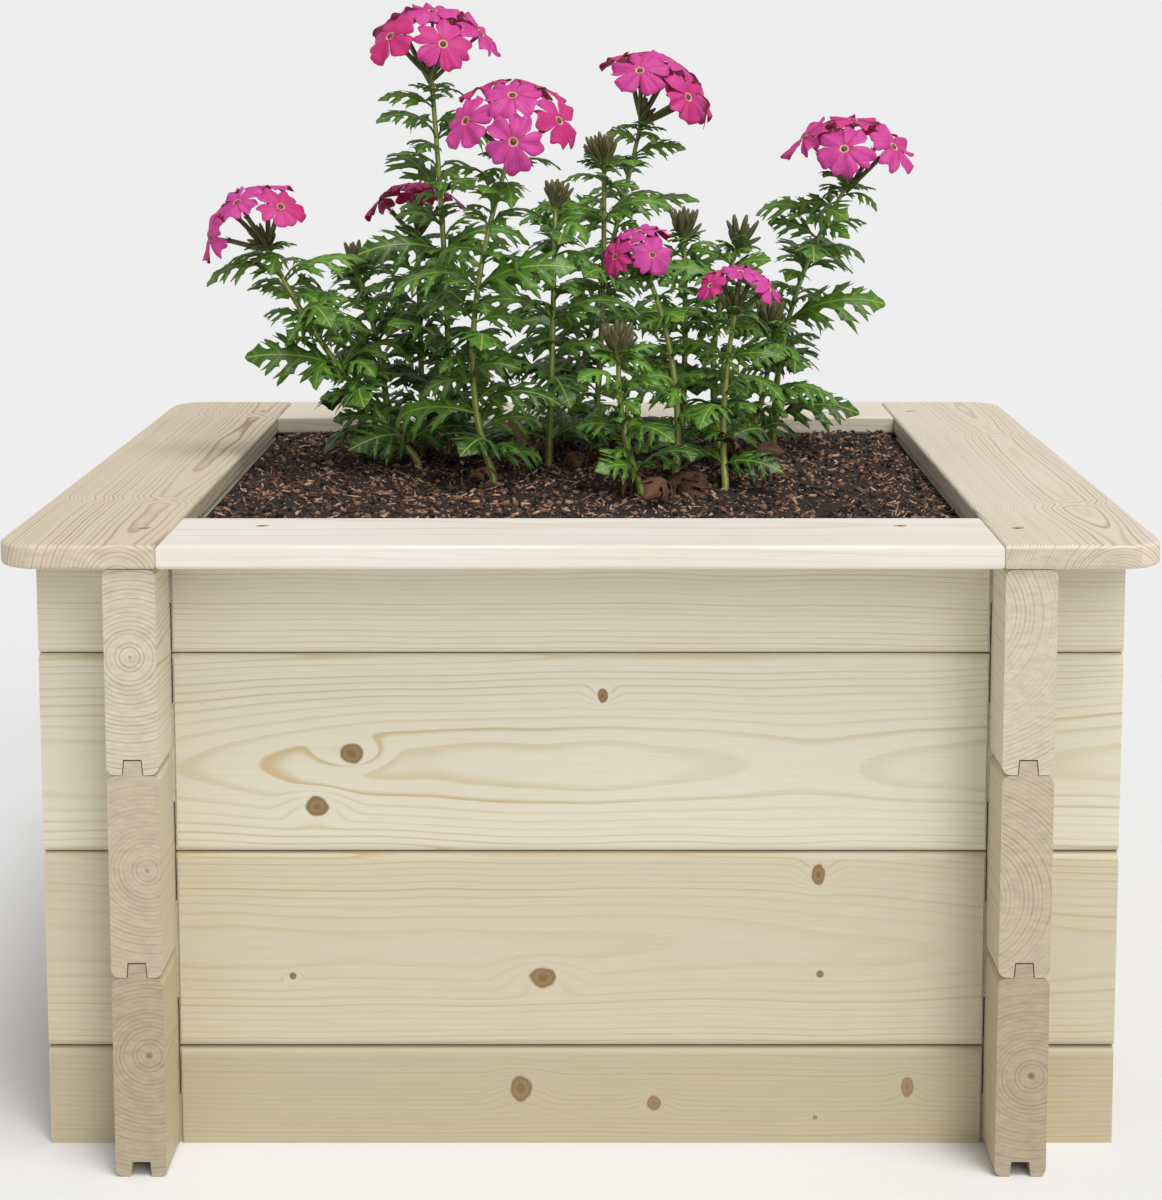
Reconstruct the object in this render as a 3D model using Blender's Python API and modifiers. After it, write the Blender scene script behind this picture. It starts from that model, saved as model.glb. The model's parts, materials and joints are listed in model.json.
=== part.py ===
"""A planted raised bed: interlocked log-cabin boards, a flat rim screwed on top, a filling of potting soil
and three verbena plants in bloom.

Run it with: blender --background --python part.py

Metres, +Z up. The origin lies on the ground under the middle of the bed, and the front looks along -Y.
"""

import math
import random
from collections import namedtuple

import bmesh
import bpy
from mathutils import Matrix, Vector
from mathutils.bvhtree import BVHTree

# Driving dimensions of the walls
BOARD_LENGTH = 0.600
BOARD_COVER = 0.113
BOARD_THICKNESS = 0.028
END_OVERHANG = 0.045
COURSES = 3
EDGE_RADIUS = 0.0035
TONGUE_HEIGHT, TONGUE_BASE, TONGUE_TOP = 0.0080, 0.0105, 0.0090
GROOVE_DEPTH, GROOVE_MOUTH, GROOVE_TOP = 0.0086, 0.0116, 0.0100

# Driving dimensions of the rim and its screws
RIM_LENGTH, RIM_DEPTH, RIM_THICKNESS = 0.626, 0.606, 0.013
RIM_BOARD_WIDTH = 0.087
RIM_CORNER_RADIUS = 0.025
RIM_EDGE = 0.0022
SCREW_HEAD_RADIUS, SCREW_HEAD_HEIGHT = 0.0037, 0.0026
SCREW_SHANK_RADIUS, SCREW_LENGTH = 0.0019, 0.040
SCREW_SIDES = 8
SCREW_MOUTH = 0.004
FRONT_SCREW_X = 0.177
SIDE_SCREW_Y = 0.248

# The gap between faces that touch, and the play of a board in a notch
FIT = 0.0003
NOTCH_PLAY = 0.0007
CUT_PAST = 0.006
SHARP_FROM = 40

# Places that follow from them
WALL_LINE = BOARD_LENGTH / 2 - END_OVERHANG - BOARD_THICKNESS / 2
WALL_HEIGHT = COURSES * BOARD_COVER
QUARTER = BOARD_COVER / 4
INNER_FACE = WALL_LINE - BOARD_THICKNESS / 2
RIM_TOP = WALL_HEIGHT + RIM_THICKNESS

# The soil
SOIL_HALF = INNER_FACE - FIT
SOIL_EDGE_LEVEL = 0.3360
SOIL_LEVEL = 0.3405
SOIL_RELIEF = 0.0018
SOIL_CELLS = 10
HOLE_RADIUS, HOLE_SIDES = 0.0036, 6

# The plants
ROOT_DEPTH = 0.022
STEM_BEND_LEVEL = 0.345
STEM_RADIUS, STEM_TIP_RADIUS = 0.0023, 0.0015
STEM_RINGS = 7
STEM_SAMPLES = 30
RIB_THICKNESS = 0.0012
LEAF_ROOT = 0.0016
LEAF_SWEEP = 0.62
LEAF_DROOP = 1.1
FRONT_ROLL = 34
VALLEY_WIDTH = 0.045
LARGE_LEAF = 0.040
LARGE_LOBES = ((0.28, 0.24, 0.40), (0.50, 0.29, 0.61), (0.71, 0.19, 0.80))
SMALL_LOBES = ((0.34, 0.27, 0.52), (0.63, 0.22, 0.76))
PETALS = 5
PETAL_HALF_ANGLE = math.radians(25)
PETAL_NOTCH, PETAL_ROOT, PETAL_FALL = 0.84, 0.24, 0.05
THROAT_RADIUS, THROAT_DEPTH = 0.0016, 0.0018
TUBE_SIDES, TUBE_END_RADIUS = 3, 0.0013
CALYX_SHARE, CALYX_RADIUS = 0.68, 0.0017
FLORET_REACH, FLORET_RADIUS = 0.048, 0.0222
HEAD_STEP = 0.0012
FLORET_LEAN, BUD_LEAN = 45, 27
SCRAP_POINTS = 12
BUDS = 7
BUD_LENGTH, BUD_RADIUS = 0.021, 0.0018
LEAF_CLEARANCE = 0.0006
LEAF_FREE_FROM = 0.10
SOIL_CLEARANCE, RIM_CLEARANCE, HEAD_CLEARANCE = 0.004, 0.007, 0.017
OPENING_X = RIM_LENGTH / 2 - RIM_BOARD_WIDTH - RIM_CLEARANCE
OPENING_Y = RIM_DEPTH / 2 - RIM_BOARD_WIDTH - RIM_CLEARANCE
SEED = 11
FIRST_PAIR, LAST_PAIR = 0.30, 0.96
SIZE_LOW, SIZE_RISE, SIZE_FALL, SIZE_DRAW = 0.80, 0.95, 1.20, 0.08
HEADING_DRAW, ROLL_DRAW = 18, 22
PITCH, PITCH_RISE, PITCH_DRAW = 46, 14, 12
BEND, BEND_LESS, BEND_MORE = 92, 18, 24
LEAF_MOVES = ((0, 0), (14, 0), (-14, 0), (28, 8), (-28, 8), (44, 14), (-44, 14), (0, 26), (60, 22), (-60, 22))

# base, middle and tip: places the stem passes through. facing: the way its tip points. florets: open ones in its
# head, or 0 where it ends in buds. head: the head's size against a full one.
Stem = namedtuple("Stem", "name base middle tip facing leaf pairs florets head turn")
STEMS = (
    Stem("left_low", (-0.111, 0.050), (-0.167, 0.030, 0.418), (-0.205, 0.010, 0.491),
         (-0.55, -0.65, 1), 0.074, 5, 5, 0.80, 20),
    Stem("left_front", (-0.058, -0.014), (-0.070, -0.025, 0.437), (-0.045, -0.036, 0.554),
         (0.05, -0.75, 1), 0.074, 5, 6, 0.90, 270),
    Stem("left_tall", (-0.092, 0.076), (-0.091, 0.040, 0.457), (-0.100, 0.045, 0.599),
         (0.05, -0.30, 1), 0.070, 7, 6, 0.94, 205),
    Stem("left_back", (-0.112, 0.105), (-0.112, 0.095, 0.420), (-0.114, 0.100, 0.492),
         (-0.10, -0.10, 1), 0.066, 4, 4, 0.74, 60),
    Stem("middle_tall", (-0.015, 0.167), (0.011, 0.160, 0.449), (0.040, 0.150, 0.570),
         (0.55, -0.15, 1), 0.070, 6, 6, 0.96, 15),
    Stem("right_tall", (0.133, 0.148), (0.144, 0.125, 0.442), (0.180, 0.110, 0.526),
         (0.05, -0.20, 1), 0.076, 5, 6, 0.95, 170),
    Stem("right_front", (0.090, -0.041), (0.090, -0.020, 0.393), (0.096, -0.030, 0.452),
         (0.10, -0.35, 1), 0.054, 3, 5, 0.58, 330),
    Stem("middle_low", (0.058, -0.041), (0.058, -0.010, 0.409), (0.041, -0.010, 0.474),
         (-0.20, -0.35, 1), 0.056, 3, 5, 0.63, 100),
    Stem("front_bud", (0.036, -0.067), (0.025, -0.060, 0.384), (0.022, -0.065, 0.429),
         (-0.05, 0, 1), 0.054, 3, 0, 1.0, 40),
    Stem("right_bud", (0.109, 0.094), (0.123, 0.090, 0.390), (0.125, 0.090, 0.430),
         (0.05, 0, 1), 0.058, 3, 0, 1.0, 75),
    Stem("high_bud", (0.066, 0.098), (0.068, 0.080, 0.420), (0.067, 0.080, 0.492),
         (0, 0, 1), 0.060, 4, 0, 1.0, 10),
    Stem("side_bud", (0.092, 0.045), (0.086, 0.040, 0.422), (0.102, 0.040, 0.489),
         (0.25, 0, 1), 0.062, 4, 0, 1.0, 55),
    Stem("left_bud", (-0.132, 0.085), (-0.138, 0.070, 0.413), (-0.152, 0.070, 0.470),
         (0.05, 0, 1), 0.066, 4, 0, 1.0, 30),
    Stem("middle_bud", (0.006, 0.100), (0.012, 0.095, 0.442), (0.013, 0.085, 0.542),
         (-0.15, 0, 1), 0.068, 4, 0, 1.0, 80),
    Stem("middle_leafy", (-0.024, 0.060), (-0.021, 0.040, 0.428), (-0.019, 0.045, 0.516),
         (0.10, -0.10, 1), 0.072, 4, 0, 0.8, 15),
)


# Scene, collections and materials
def clear_scene():
    for obj in list(bpy.data.objects):
        bpy.data.objects.remove(obj)


def new_collection(name, parent=None):
    collection = bpy.data.collections.new(name)
    (parent or bpy.context.scene.collection).children.link(collection)
    return collection


def material(name, colour, roughness, metallic=0.0):
    made = bpy.data.materials.new(name)
    made.use_nodes = True
    shader = made.node_tree.nodes["Principled BSDF"]
    shader.inputs["Base Color"].default_value = (*colour, 1.0)
    shader.inputs["Roughness"].default_value = roughness
    shader.inputs["Metallic"].default_value = metallic
    return made


def add_object(name, mesh, collection, finish=None):
    obj = bpy.data.objects.new(name, mesh)
    collection.objects.link(obj)
    if finish is not None and not mesh.materials:
        mesh.materials.append(finish)
    return obj


def mesh_from(bm, name):
    bmesh.ops.recalc_face_normals(bm, faces=bm.faces)
    mesh = bpy.data.meshes.new(name)
    bm.to_mesh(mesh)
    bm.free()
    return mesh


def evaluated_mesh(obj):
    """The object's mesh with its modifiers or its bevel, its caps welded to its sides."""
    graph = bpy.context.evaluated_depsgraph_get()
    mesh = bpy.data.meshes.new_from_object(obj.evaluated_get(graph))
    bm = bmesh.new()
    bm.from_mesh(mesh)
    bmesh.ops.remove_doubles(bm, verts=bm.verts, dist=1e-6)
    bmesh.ops.delete(bm, geom=[v for v in bm.verts if not v.link_faces], context="VERTS")
    bm.to_mesh(mesh)
    bm.free()
    return mesh


def shade_round(mesh):
    mesh.shade_smooth()
    mesh.set_sharp_from_angle(angle=math.radians(SHARP_FROM))


def box_cutter(name, low, high):
    bm = bmesh.new()
    bmesh.ops.create_cube(bm, size=1.0)
    for vert in bm.verts:
        vert.co = Vector(
            (low[i] + (vert.co[i] + 0.5) * (high[i] - low[i]) for i in range(3))
        )
    return add_cutter(name, mesh_from(bm, name))


def add_cutter(name, mesh, collection=None):
    cutter = add_object(name, mesh, collection or cutters)
    cutter.hide_render = True
    cutter.display_type = "WIRE"
    return cutter


def cut_with(obj, collection):
    cut = obj.modifiers.new("cut", "BOOLEAN")
    cut.operand_type = "COLLECTION"
    cut.collection = collection
    cut.operation = "DIFFERENCE"


# Wall boards
def arc(centre, start_deg, end_deg, radius, segments=1):
    steps = range(segments + 1)
    turns = [math.radians(start_deg + (end_deg - start_deg) * i / segments) for i in steps]
    return [(centre[0] + radius * math.cos(a), centre[1] + radius * math.sin(a)) for a in turns]


def board_profile(height, grooved, tongued, top_rounded=True):
    """The board's section, across its thickness and up, from its lower shoulder at 0 to its upper shoulder."""
    half, top, r = BOARD_THICKNESS / 2, height - FIT, EDGE_RADIUS
    points = arc((-half + r, r), 180, 270, r) if grooved else [(-half, 0)]
    if grooved:
        points += [(-GROOVE_MOUTH / 2, 0), (-GROOVE_TOP / 2, GROOVE_DEPTH)]
        points += [(GROOVE_TOP / 2, GROOVE_DEPTH), (GROOVE_MOUTH / 2, 0)]
    points += arc((half - r, r), 270, 360, r) if grooved else [(half, 0)]
    points += arc((half - r, top - r), 0, 90, r) if top_rounded else [(half, top)]
    if tongued:
        points += [(TONGUE_BASE / 2, top), (TONGUE_TOP / 2, top + TONGUE_HEIGHT)]
        points += [(-TONGUE_TOP / 2, top + TONGUE_HEIGHT), (-TONGUE_BASE / 2, top)]
    points += arc((-half + r, top - r), 90, 180, r) if top_rounded else [(-half, top)]
    return points


def extruded(name, outline, depth):
    """A mesh of a flat outline drawn in X and Y, and as thick as depth along Z, centred on it."""
    curve = bpy.data.curves.new(name, "CURVE")
    curve.dimensions = "2D"
    curve.fill_mode = "BOTH"
    curve.extrude = depth / 2
    spline = curve.splines.new("POLY")
    spline.points.add(len(outline) - 1)
    for point, (x, y) in zip(spline.points, outline):
        point.co = (x, y, 0, 1)
    spline.use_cyclic_u = True
    drawn = add_object(name + "_outline", curve, cutters)
    mesh = evaluated_mesh(drawn)
    bpy.data.objects.remove(drawn)
    mesh.name = name
    return mesh


def board_mesh(name, profile):
    """A board along X, its section standing across Y and Z."""
    mesh = extruded(name, profile, BOARD_LENGTH)
    mesh.transform(Matrix(((0, 0, 1, 0), (1, 0, 0, 0), (0, 1, 0, 0), (0, 0, 0, 1))))
    return mesh


def notch_cutters():
    """Boxes at the four corners: those that let the side boards through the front and back boards, and those
    that let the front and back boards through the side boards."""
    through_ends = new_collection("notches_in_front_and_back", cutters)
    through_sides = new_collection("notches_in_sides", cutters)
    along = BOARD_THICKNESS / 2 + NOTCH_PLAY
    across = BOARD_THICKNESS / 2 + CUT_PAST
    for x in (-WALL_LINE, WALL_LINE):
        for y in (-WALL_LINE, WALL_LINE):
            for course in range(COURSES + 1):
                middle = course * BOARD_COVER
                low, high = middle - QUARTER - FIT / 2, middle + QUARTER + FIT / 2
                side = box_cutter("through_side", (x - across, y - along, low), (x + across, y + along, high))
                cutters.objects.unlink(side)
                through_sides.objects.link(side)
                if course == COURSES:
                    continue
                low, high = middle + QUARTER - FIT / 2, middle + 3 * QUARTER + FIT / 2
                end = box_cutter("through_end", (x - along, y - across, low), (x + along, y + across, high))
                cutters.objects.unlink(end)
                through_ends.objects.link(end)
    return through_ends, through_sides


def build_walls():
    through_ends, through_sides = notch_cutters()
    full = board_mesh("full_board", board_profile(BOARD_COVER, True, True))
    crown = board_mesh("crown_board", board_profile(BOARD_COVER, True, False))
    foot = board_mesh("foot_half_board", board_profile(BOARD_COVER / 2, False, True))
    head = board_mesh("head_half_board", board_profile(BOARD_COVER / 2, True, False, False))
    for mesh in (full, crown, foot, head):
        mesh.materials.append(wall_wood)
    ends = [(foot, 0.0)] + [(full, (i + 0.5) * BOARD_COVER) for i in range(COURSES - 1)]
    ends.append((head, (COURSES - 0.5) * BOARD_COVER))
    for wall, y in (("front", -WALL_LINE), ("back", WALL_LINE)):
        for number, (mesh, z) in enumerate(ends, 1):
            board = add_object(f"{wall}_board_{number}", mesh, bed)
            board.location = (0, y, z)
            cut_with(board, through_ends)
    for wall, x in (("left", -WALL_LINE), ("right", WALL_LINE)):
        for course in range(COURSES):
            mesh = crown if course == COURSES - 1 else full
            board = add_object(f"{wall}_board_{course + 1}", mesh, bed)
            board.location = (x, 0, course * BOARD_COVER)
            board.rotation_euler.z = math.pi / 2
            cut_with(board, through_sides)


# Rim boards and their screws
def rim_outline(rounded):
    """Half the side board's outline is its inner edge, and the outer corners are rounded on both ends."""
    half_x, half_y, r = RIM_BOARD_WIDTH / 2, RIM_DEPTH / 2, RIM_CORNER_RADIUS
    if not rounded:
        half_x = RIM_LENGTH / 2 - RIM_BOARD_WIDTH - FIT
        half_y = RIM_BOARD_WIDTH / 2
        return [(-half_x, -half_y), (half_x, -half_y), (half_x, half_y), (-half_x, half_y)]
    outer = arc((half_x - r, -half_y + r), -90, 0, r, 6) + arc((half_x - r, half_y - r), 0, 90, r, 6)
    return [(-half_x, -half_y)] + outer + [(-half_x, half_y)]


def rim_board(name, mesh, location, turn=0.0):
    board = add_object(name, mesh, bed)
    board.location = location
    board.rotation_euler.z = turn
    bevel = board.modifiers.new("eased_edges", "BEVEL")
    bevel.width = RIM_EDGE
    bevel.segments = 1
    bevel.limit_method = "ANGLE"
    bevel.angle_limit = math.radians(50)
    return board


def screw_mesh(name, grow, head_up, length):
    """A countersunk screw with its head's top at 0, or a cutter for it where grow widens it."""
    bm = bmesh.new()
    profile = [
        (0, -length),
        (SCREW_SHANK_RADIUS + grow, -length),
        (SCREW_SHANK_RADIUS + grow, -SCREW_HEAD_HEIGHT - grow),
        (SCREW_HEAD_RADIUS + grow, -grow),
        (0, head_up - grow),
    ]
    if head_up:
        profile.insert(4, (SCREW_HEAD_RADIUS + grow, head_up - grow))
    line = [bm.verts.new((radius, 0, height)) for radius, height in profile]
    edges = [bm.edges.new(pair) for pair in zip(line, line[1:])]
    bmesh.ops.spin(
        bm, geom=line + edges, cent=(0, 0, 0), axis=(0, 0, 1), angle=2 * math.pi, steps=SCREW_SIDES, use_merge=True
    )
    bmesh.ops.remove_doubles(bm, verts=bm.verts, dist=1e-6)
    return mesh_from(bm, name)


def build_rim():
    side = extruded("side_rim_board", rim_outline(True), RIM_THICKNESS)
    end = extruded("end_rim_board", rim_outline(False), RIM_THICKNESS)
    for mesh in (side, end):
        mesh.materials.append(rim_wood)
    x = (RIM_LENGTH - RIM_BOARD_WIDTH) / 2
    y = (RIM_DEPTH - RIM_BOARD_WIDTH) / 2
    z = WALL_HEIGHT + RIM_THICKNESS / 2
    rims = {
        "rim_right": rim_board("rim_right", side, (x, 0, z)),
        "rim_left": rim_board("rim_left", side, (-x, 0, z), math.pi),
        "rim_front": rim_board("rim_front", end, (0, -y, z)),
        "rim_back": rim_board("rim_back", end, (0, y, z)),
    }
    holes = new_collection("screw_holes", cutters)
    screw = screw_mesh("screw", 0.0, 0.0, SCREW_LENGTH)
    screw.materials.append(screw_steel)
    shade_round(screw)
    hole = screw_mesh("screw_hole", FIT, SCREW_MOUTH, SCREW_LENGTH + FIT)
    places = [(sx * FRONT_SCREW_X, sy * WALL_LINE) for sy in (-1, 1) for sx in (-1, 1)]
    places += [(sx * WALL_LINE, sy * SIDE_SCREW_Y) for sx in (-1, 1) for sy in (-1, 1)]
    for number, (sx, sy) in enumerate(places, 1):
        placed = add_object(f"rim_screw_{number}", screw, bed)
        placed.location = (sx, sy, RIM_TOP - FIT)
        add_cutter(f"hole_{number}", hole, holes).location = placed.location
    for board in rims.values():
        cut_with(board, holes)
    for name in ("front_board_4", "back_board_4", "left_board_3", "right_board_3"):
        cut_with(bed.objects[name], holes)


# Plant geometry, as points and faces
def stem_path(stem):
    """Points on the smooth curve through the stem's base, middle and tip."""
    base, middle, tip = Vector((*stem.base, STEM_BEND_LEVEL)), Vector(stem.middle), Vector(stem.tip)
    path = []
    for i in range(STEM_SAMPLES + 1):
        t = i / STEM_SAMPLES
        path.append(base * (1 - t) * (1 - 2 * t) + middle * 4 * t * (1 - t) + tip * t * (2 * t - 1))
    return path


def head_places(stem):
    """Where each floret or bud of a head starts and how it is turned: one in the middle and the rest in a ring
    round it, each with the tip of a petal on the tip of one of the middle one's petals."""
    seat = Matrix.Translation(stem.tip) @ Vector(stem.facing).to_track_quat("Z", "Y").to_matrix().to_4x4()
    places = [seat @ Matrix.Rotation(math.radians(stem.turn) - PETAL_HALF_ANGLE, 4, "Z")]
    step = 360 / PETALS if stem.florets else 360 / (BUDS - 1)
    for i in range((stem.florets or BUDS) - 1):
        around = math.radians(stem.turn + step * i)
        lean = math.radians(FLORET_LEAN if stem.florets else BUD_LEAN)
        turned = Matrix.Rotation(around, 4, "Z") @ Matrix.Rotation(lean, 4, "Y")
        places.append(seat @ turned @ Matrix.Rotation(math.pi - PETAL_HALF_ANGLE, 4, "Z"))
    return places


Leaf = namedtuple("Leaf", "place length pitch bend lobes")


def make_leaf(origin, heading, roll, length, pitch, bend):
    place = Matrix.Translation(origin) @ Matrix.Rotation(heading, 4, "Z") @ Matrix.Rotation(roll, 4, "X")
    return Leaf(place, length, pitch, bend, LARGE_LOBES if length > LARGE_LEAF else SMALL_LOBES)


def leaf_point(leaf, u, side, reach, lift=0.0):
    """A point of the arched blade: u along the rib, reach out from it to side -1 or 1, and lift off the blade.
    The last two, like u, are shares of the leaf's length, apart from lift, which is in metres."""
    along = u + LEAF_SWEEP * reach
    pitch = leaf.pitch - leaf.bend * along
    radius = leaf.length / leaf.bend
    x = radius * (math.sin(leaf.pitch) - math.sin(pitch))
    z = radius * (math.cos(pitch) - math.cos(leaf.pitch))
    off = lift - LEAF_DROOP * reach * reach * leaf.length
    return leaf.place @ Vector((x - off * math.sin(pitch), side * reach * leaf.length, z + off * math.cos(pitch)))


def leaf_solid(leaf, start, grow=0.0):
    """Points and faces of a cut leaf: lobes drawn out from the rib, thick at the rib and thin at their tips."""
    half = RIB_THICKNESS / 2 + grow
    wider = 1 + grow / (0.1 * leaf.length)
    points = [leaf_point(leaf, start, 1, 0)]
    faces = []
    ribs = [(0, 0)]
    valleys = {1: None, -1: None}
    for along, reach, end in leaf.lobes:
        last = ribs[-1]
        ribs.append((len(points), len(points) + 1))
        points += [leaf_point(leaf, end, 1, 0, half), leaf_point(leaf, end, 1, 0, -half)]
        for side in (1, -1):
            tip, valley = len(points), len(points) + 1
            points.append(leaf_point(leaf, along, side, reach * wider))
            points.append(leaf_point(leaf, end, side, VALLEY_WIDTH * wider))
            for face in (0, 1):
                faces.append((last[face], tip, ribs[-1][face]))
                faces.append((ribs[-1][face], tip, valley))
                if valleys[side] is not None:
                    faces.append((last[face], valleys[side], tip))
            valleys[side] = valley
    points.append(leaf_point(leaf, 1.0, 1, 0))
    for face in (0, 1):
        for side in (1, -1):
            faces.append((ribs[-1][face], valleys[side], len(points) - 1))
    return points, faces


def leaf_trees(leaf):
    """The whole blade, and the blade without its root, for tests against what grows on the same stem."""
    starts = (-LEAF_ROOT / leaf.length, LEAF_FREE_FROM)
    return tuple(BVHTree.FromPolygons(*leaf_solid(leaf, start, LEAF_CLEARANCE)) for start in starts)


def is_clear(leaf, own, taken):
    """True where a leaf keeps clear of the soil, the rim, the heads, and the other stems and leaves."""
    points = leaf_solid(leaf, LEAF_FREE_FROM)[0]
    for point in points:
        if point.z < SOIL_LEVEL + SOIL_CLEARANCE:
            return False
        if point.z < RIM_TOP + SOIL_CLEARANCE and (abs(point.x) > OPENING_X or abs(point.y) > OPENING_Y):
            return False
        if abs(point.x) > RIM_LENGTH / 2 - RIM_CLEARANCE or abs(point.y) > RIM_DEPTH / 2 - RIM_CLEARANCE:
            return False
        for stem in STEMS:
            if stem.florets and (point - Vector(stem.tip)).length < HEAD_CLEARANCE * stem.head:
                return False
    whole, outer = leaf_trees(leaf)
    for owner, other_whole, other_outer in taken:
        if outer.overlap(other_outer) if owner == own else whole.overlap(other_whole):
            return False
    return True


def grow_leaves(solids):
    """Leaves for every stem in opposite pairs, each pair a quarter turn from the last. Where the place is taken
    a leaf is turned and lifted a little further, and it is left out where no turn is free."""
    draw = random.Random(SEED)
    taken = list(solids)
    leaves = {stem.name: [] for stem in STEMS}
    for stem in STEMS:
        path = stem_path(stem)
        for pair in range(stem.pairs):
            share = (pair + FIRST_PAIR) / stem.pairs * LAST_PAIR
            origin = path[round(share * STEM_SAMPLES)]
            size = stem.leaf * (SIZE_LOW + SIZE_RISE * share - SIZE_FALL * share * share)
            for side in (0, 1):
                heading = stem.turn + 90 * pair + 180 * side + draw.uniform(-HEADING_DRAW, HEADING_DRAW)
                towards_front = FRONT_ROLL * math.cos(math.radians(heading))
                roll = math.radians(towards_front + draw.uniform(-ROLL_DRAW, ROLL_DRAW))
                pitch = PITCH + PITCH_RISE * share + draw.uniform(-PITCH_DRAW, PITCH_DRAW)
                bend = math.radians(BEND + draw.uniform(-BEND_LESS, BEND_MORE))
                length = size * draw.uniform(1 - SIZE_DRAW, 1 + SIZE_DRAW)
                for turn, lift in LEAF_MOVES:
                    leaf = make_leaf(
                        origin, math.radians(heading + turn), roll, length, math.radians(pitch + lift), bend
                    )
                    if is_clear(leaf, stem.name, taken):
                        taken.append((stem.name, *leaf_trees(leaf)))
                        leaves[stem.name].append(leaf)
                        break
    return leaves


# Plant solids
def stem_mesh(stem):
    """The four-sided stem as a tapered tube that goes straight down into the soil."""
    path = stem_path(stem)
    step = STEM_SAMPLES / (STEM_RINGS - 1)
    points = [Vector((*stem.base, SOIL_LEVEL - ROOT_DEPTH))]
    points += [path[round(i * step)] for i in range(STEM_RINGS)]
    curve = bpy.data.curves.new(stem.name, "CURVE")
    curve.dimensions = "3D"
    curve.bevel_depth = 1.0
    curve.bevel_resolution = 0
    curve.use_fill_caps = True
    spline = curve.splines.new("POLY")
    spline.points.add(len(points) - 1)
    for i, (point, place) in enumerate(zip(spline.points, points)):
        point.co = (*place, 1)
        point.radius = STEM_RADIUS + (STEM_TIP_RADIUS - STEM_RADIUS) * max(0, i - 1) / (STEM_RINGS - 1)
    drawn = add_object(stem.name + "_line", curve, cutters)
    mesh = evaluated_mesh(drawn)
    bpy.data.objects.remove(drawn)
    return mesh


def leaf_mesh(leaf):
    points, faces = leaf_solid(leaf, -LEAF_ROOT / leaf.length)
    bm = bmesh.new()
    verts = [bm.verts.new(point) for point in points]
    for face in faces:
        bm.faces.new([verts[i] for i in face])
    return mesh_from(bm, "leaf")


def floret_mesh(stem, place):
    """Five notched petals in one flower, thin at their edges, on a throat that narrows to its tube."""
    size = FLORET_RADIUS * stem.head
    bm = bmesh.new()
    step = 2 * math.pi / PETALS
    eye = bm.verts.new((0, 0, -THROAT_DEPTH / 3))
    outline, throat, end = [], [], []
    low = -FLORET_REACH * stem.head * (1 - CALYX_SHARE)
    for petal in range(PETALS):
        middle = petal * step
        for angle, radius in (
            (-step / 2, PETAL_ROOT),
            (-PETAL_HALF_ANGLE, 0.97),
            (0, PETAL_NOTCH),
            (PETAL_HALF_ANGLE, 0.97),
        ):
            a, r = middle + angle, radius * size
            outline.append(bm.verts.new((r * math.cos(a), r * math.sin(a), -PETAL_FALL * radius * radius * size)))
    count = len(outline)
    share = math.ceil(count / TUBE_SIDES)
    for i in range(TUBE_SIDES):
        middle = (i + 0.5) * share * step / 4 - step / 2
        x, y = math.cos(middle), math.sin(middle)
        throat.append(bm.verts.new((THROAT_RADIUS * x, THROAT_RADIUS * y, -THROAT_DEPTH)))
        end.append(bm.verts.new((TUBE_END_RADIUS * x, TUBE_END_RADIUS * y, low)))
    for i in range(count):
        first, second = outline[i], outline[(i + 1) % count]
        bm.faces.new((eye, first, second))
        bm.faces.new((throat[i // share], first, second))
    for i in range(TUBE_SIDES):
        following = (i + 1) % TUBE_SIDES
        bm.faces.new((throat[i], outline[share * following], throat[following]))
        bm.faces.new((throat[i], throat[following], end[following]))
        bm.faces.new((throat[i], end[following], end[i]))
    bm.faces.new(end)
    lifted = place @ Matrix.Translation((0, 0, FLORET_REACH * stem.head + FIT))
    bmesh.ops.transform(bm, matrix=lifted, verts=bm.verts)
    return mesh_from(bm, "floret")


def spike_mesh(stem, number, place, length, end_radius):
    """A slim three-sided calyx or bud that widens from inside the stem, each starting lower than the last."""
    start = Vector(stem.tip) - Vector(stem.facing).normalized() * HEAD_STEP * number
    end = place @ Vector((0, 0, length))
    run = end - start
    bm = bmesh.new()
    bmesh.ops.create_cone(
        bm, cap_ends=True, segments=3, radius1=end_radius / 2, radius2=end_radius, depth=run.length
    )
    turned = Matrix.Translation((start + end) / 2) @ run.to_track_quat("Z", "Y").to_matrix().to_4x4()
    bmesh.ops.transform(bm, matrix=turned, verts=bm.verts)
    return mesh_from(bm, "spike")


def drop_scraps(mesh):
    """Removes the crumbs that a union leaves beside its body."""
    bm = bmesh.new()
    bm.from_mesh(mesh)
    waiting = set(bm.verts)
    scraps = []
    while waiting:
        body = [waiting.pop()]
        for vert in body:
            near = {edge.other_vert(vert) for edge in vert.link_edges} & waiting
            waiting -= near
            body += near
        if len(body) < SCRAP_POINTS:
            scraps += body
    bmesh.ops.delete(bm, geom=scraps, context="VERTS")
    bm.to_mesh(mesh)
    bm.free()


def joined(name, meshes, finish):
    """One solid from overlapping ones."""
    parts = new_collection(name + "_parts", cutters)
    first = add_object(name, meshes[0], bed)
    for mesh in meshes[1:]:
        add_object(name + "_part", mesh, parts)
    union = first.modifiers.new("join", "BOOLEAN")
    union.operand_type = "COLLECTION"
    union.collection = parts
    union.operation = "UNION"
    union.solver = "MANIFOLD"
    first.data = bpy.data.meshes.new_from_object(first.evaluated_get(bpy.context.evaluated_depsgraph_get()))
    drop_scraps(first.data)
    shade_round(first.data)
    first.modifiers.clear()
    for obj in list(parts.objects):
        bpy.data.objects.remove(obj)
    bpy.data.collections.remove(parts)
    first.data.materials.clear()
    first.data.materials.append(finish)


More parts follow.
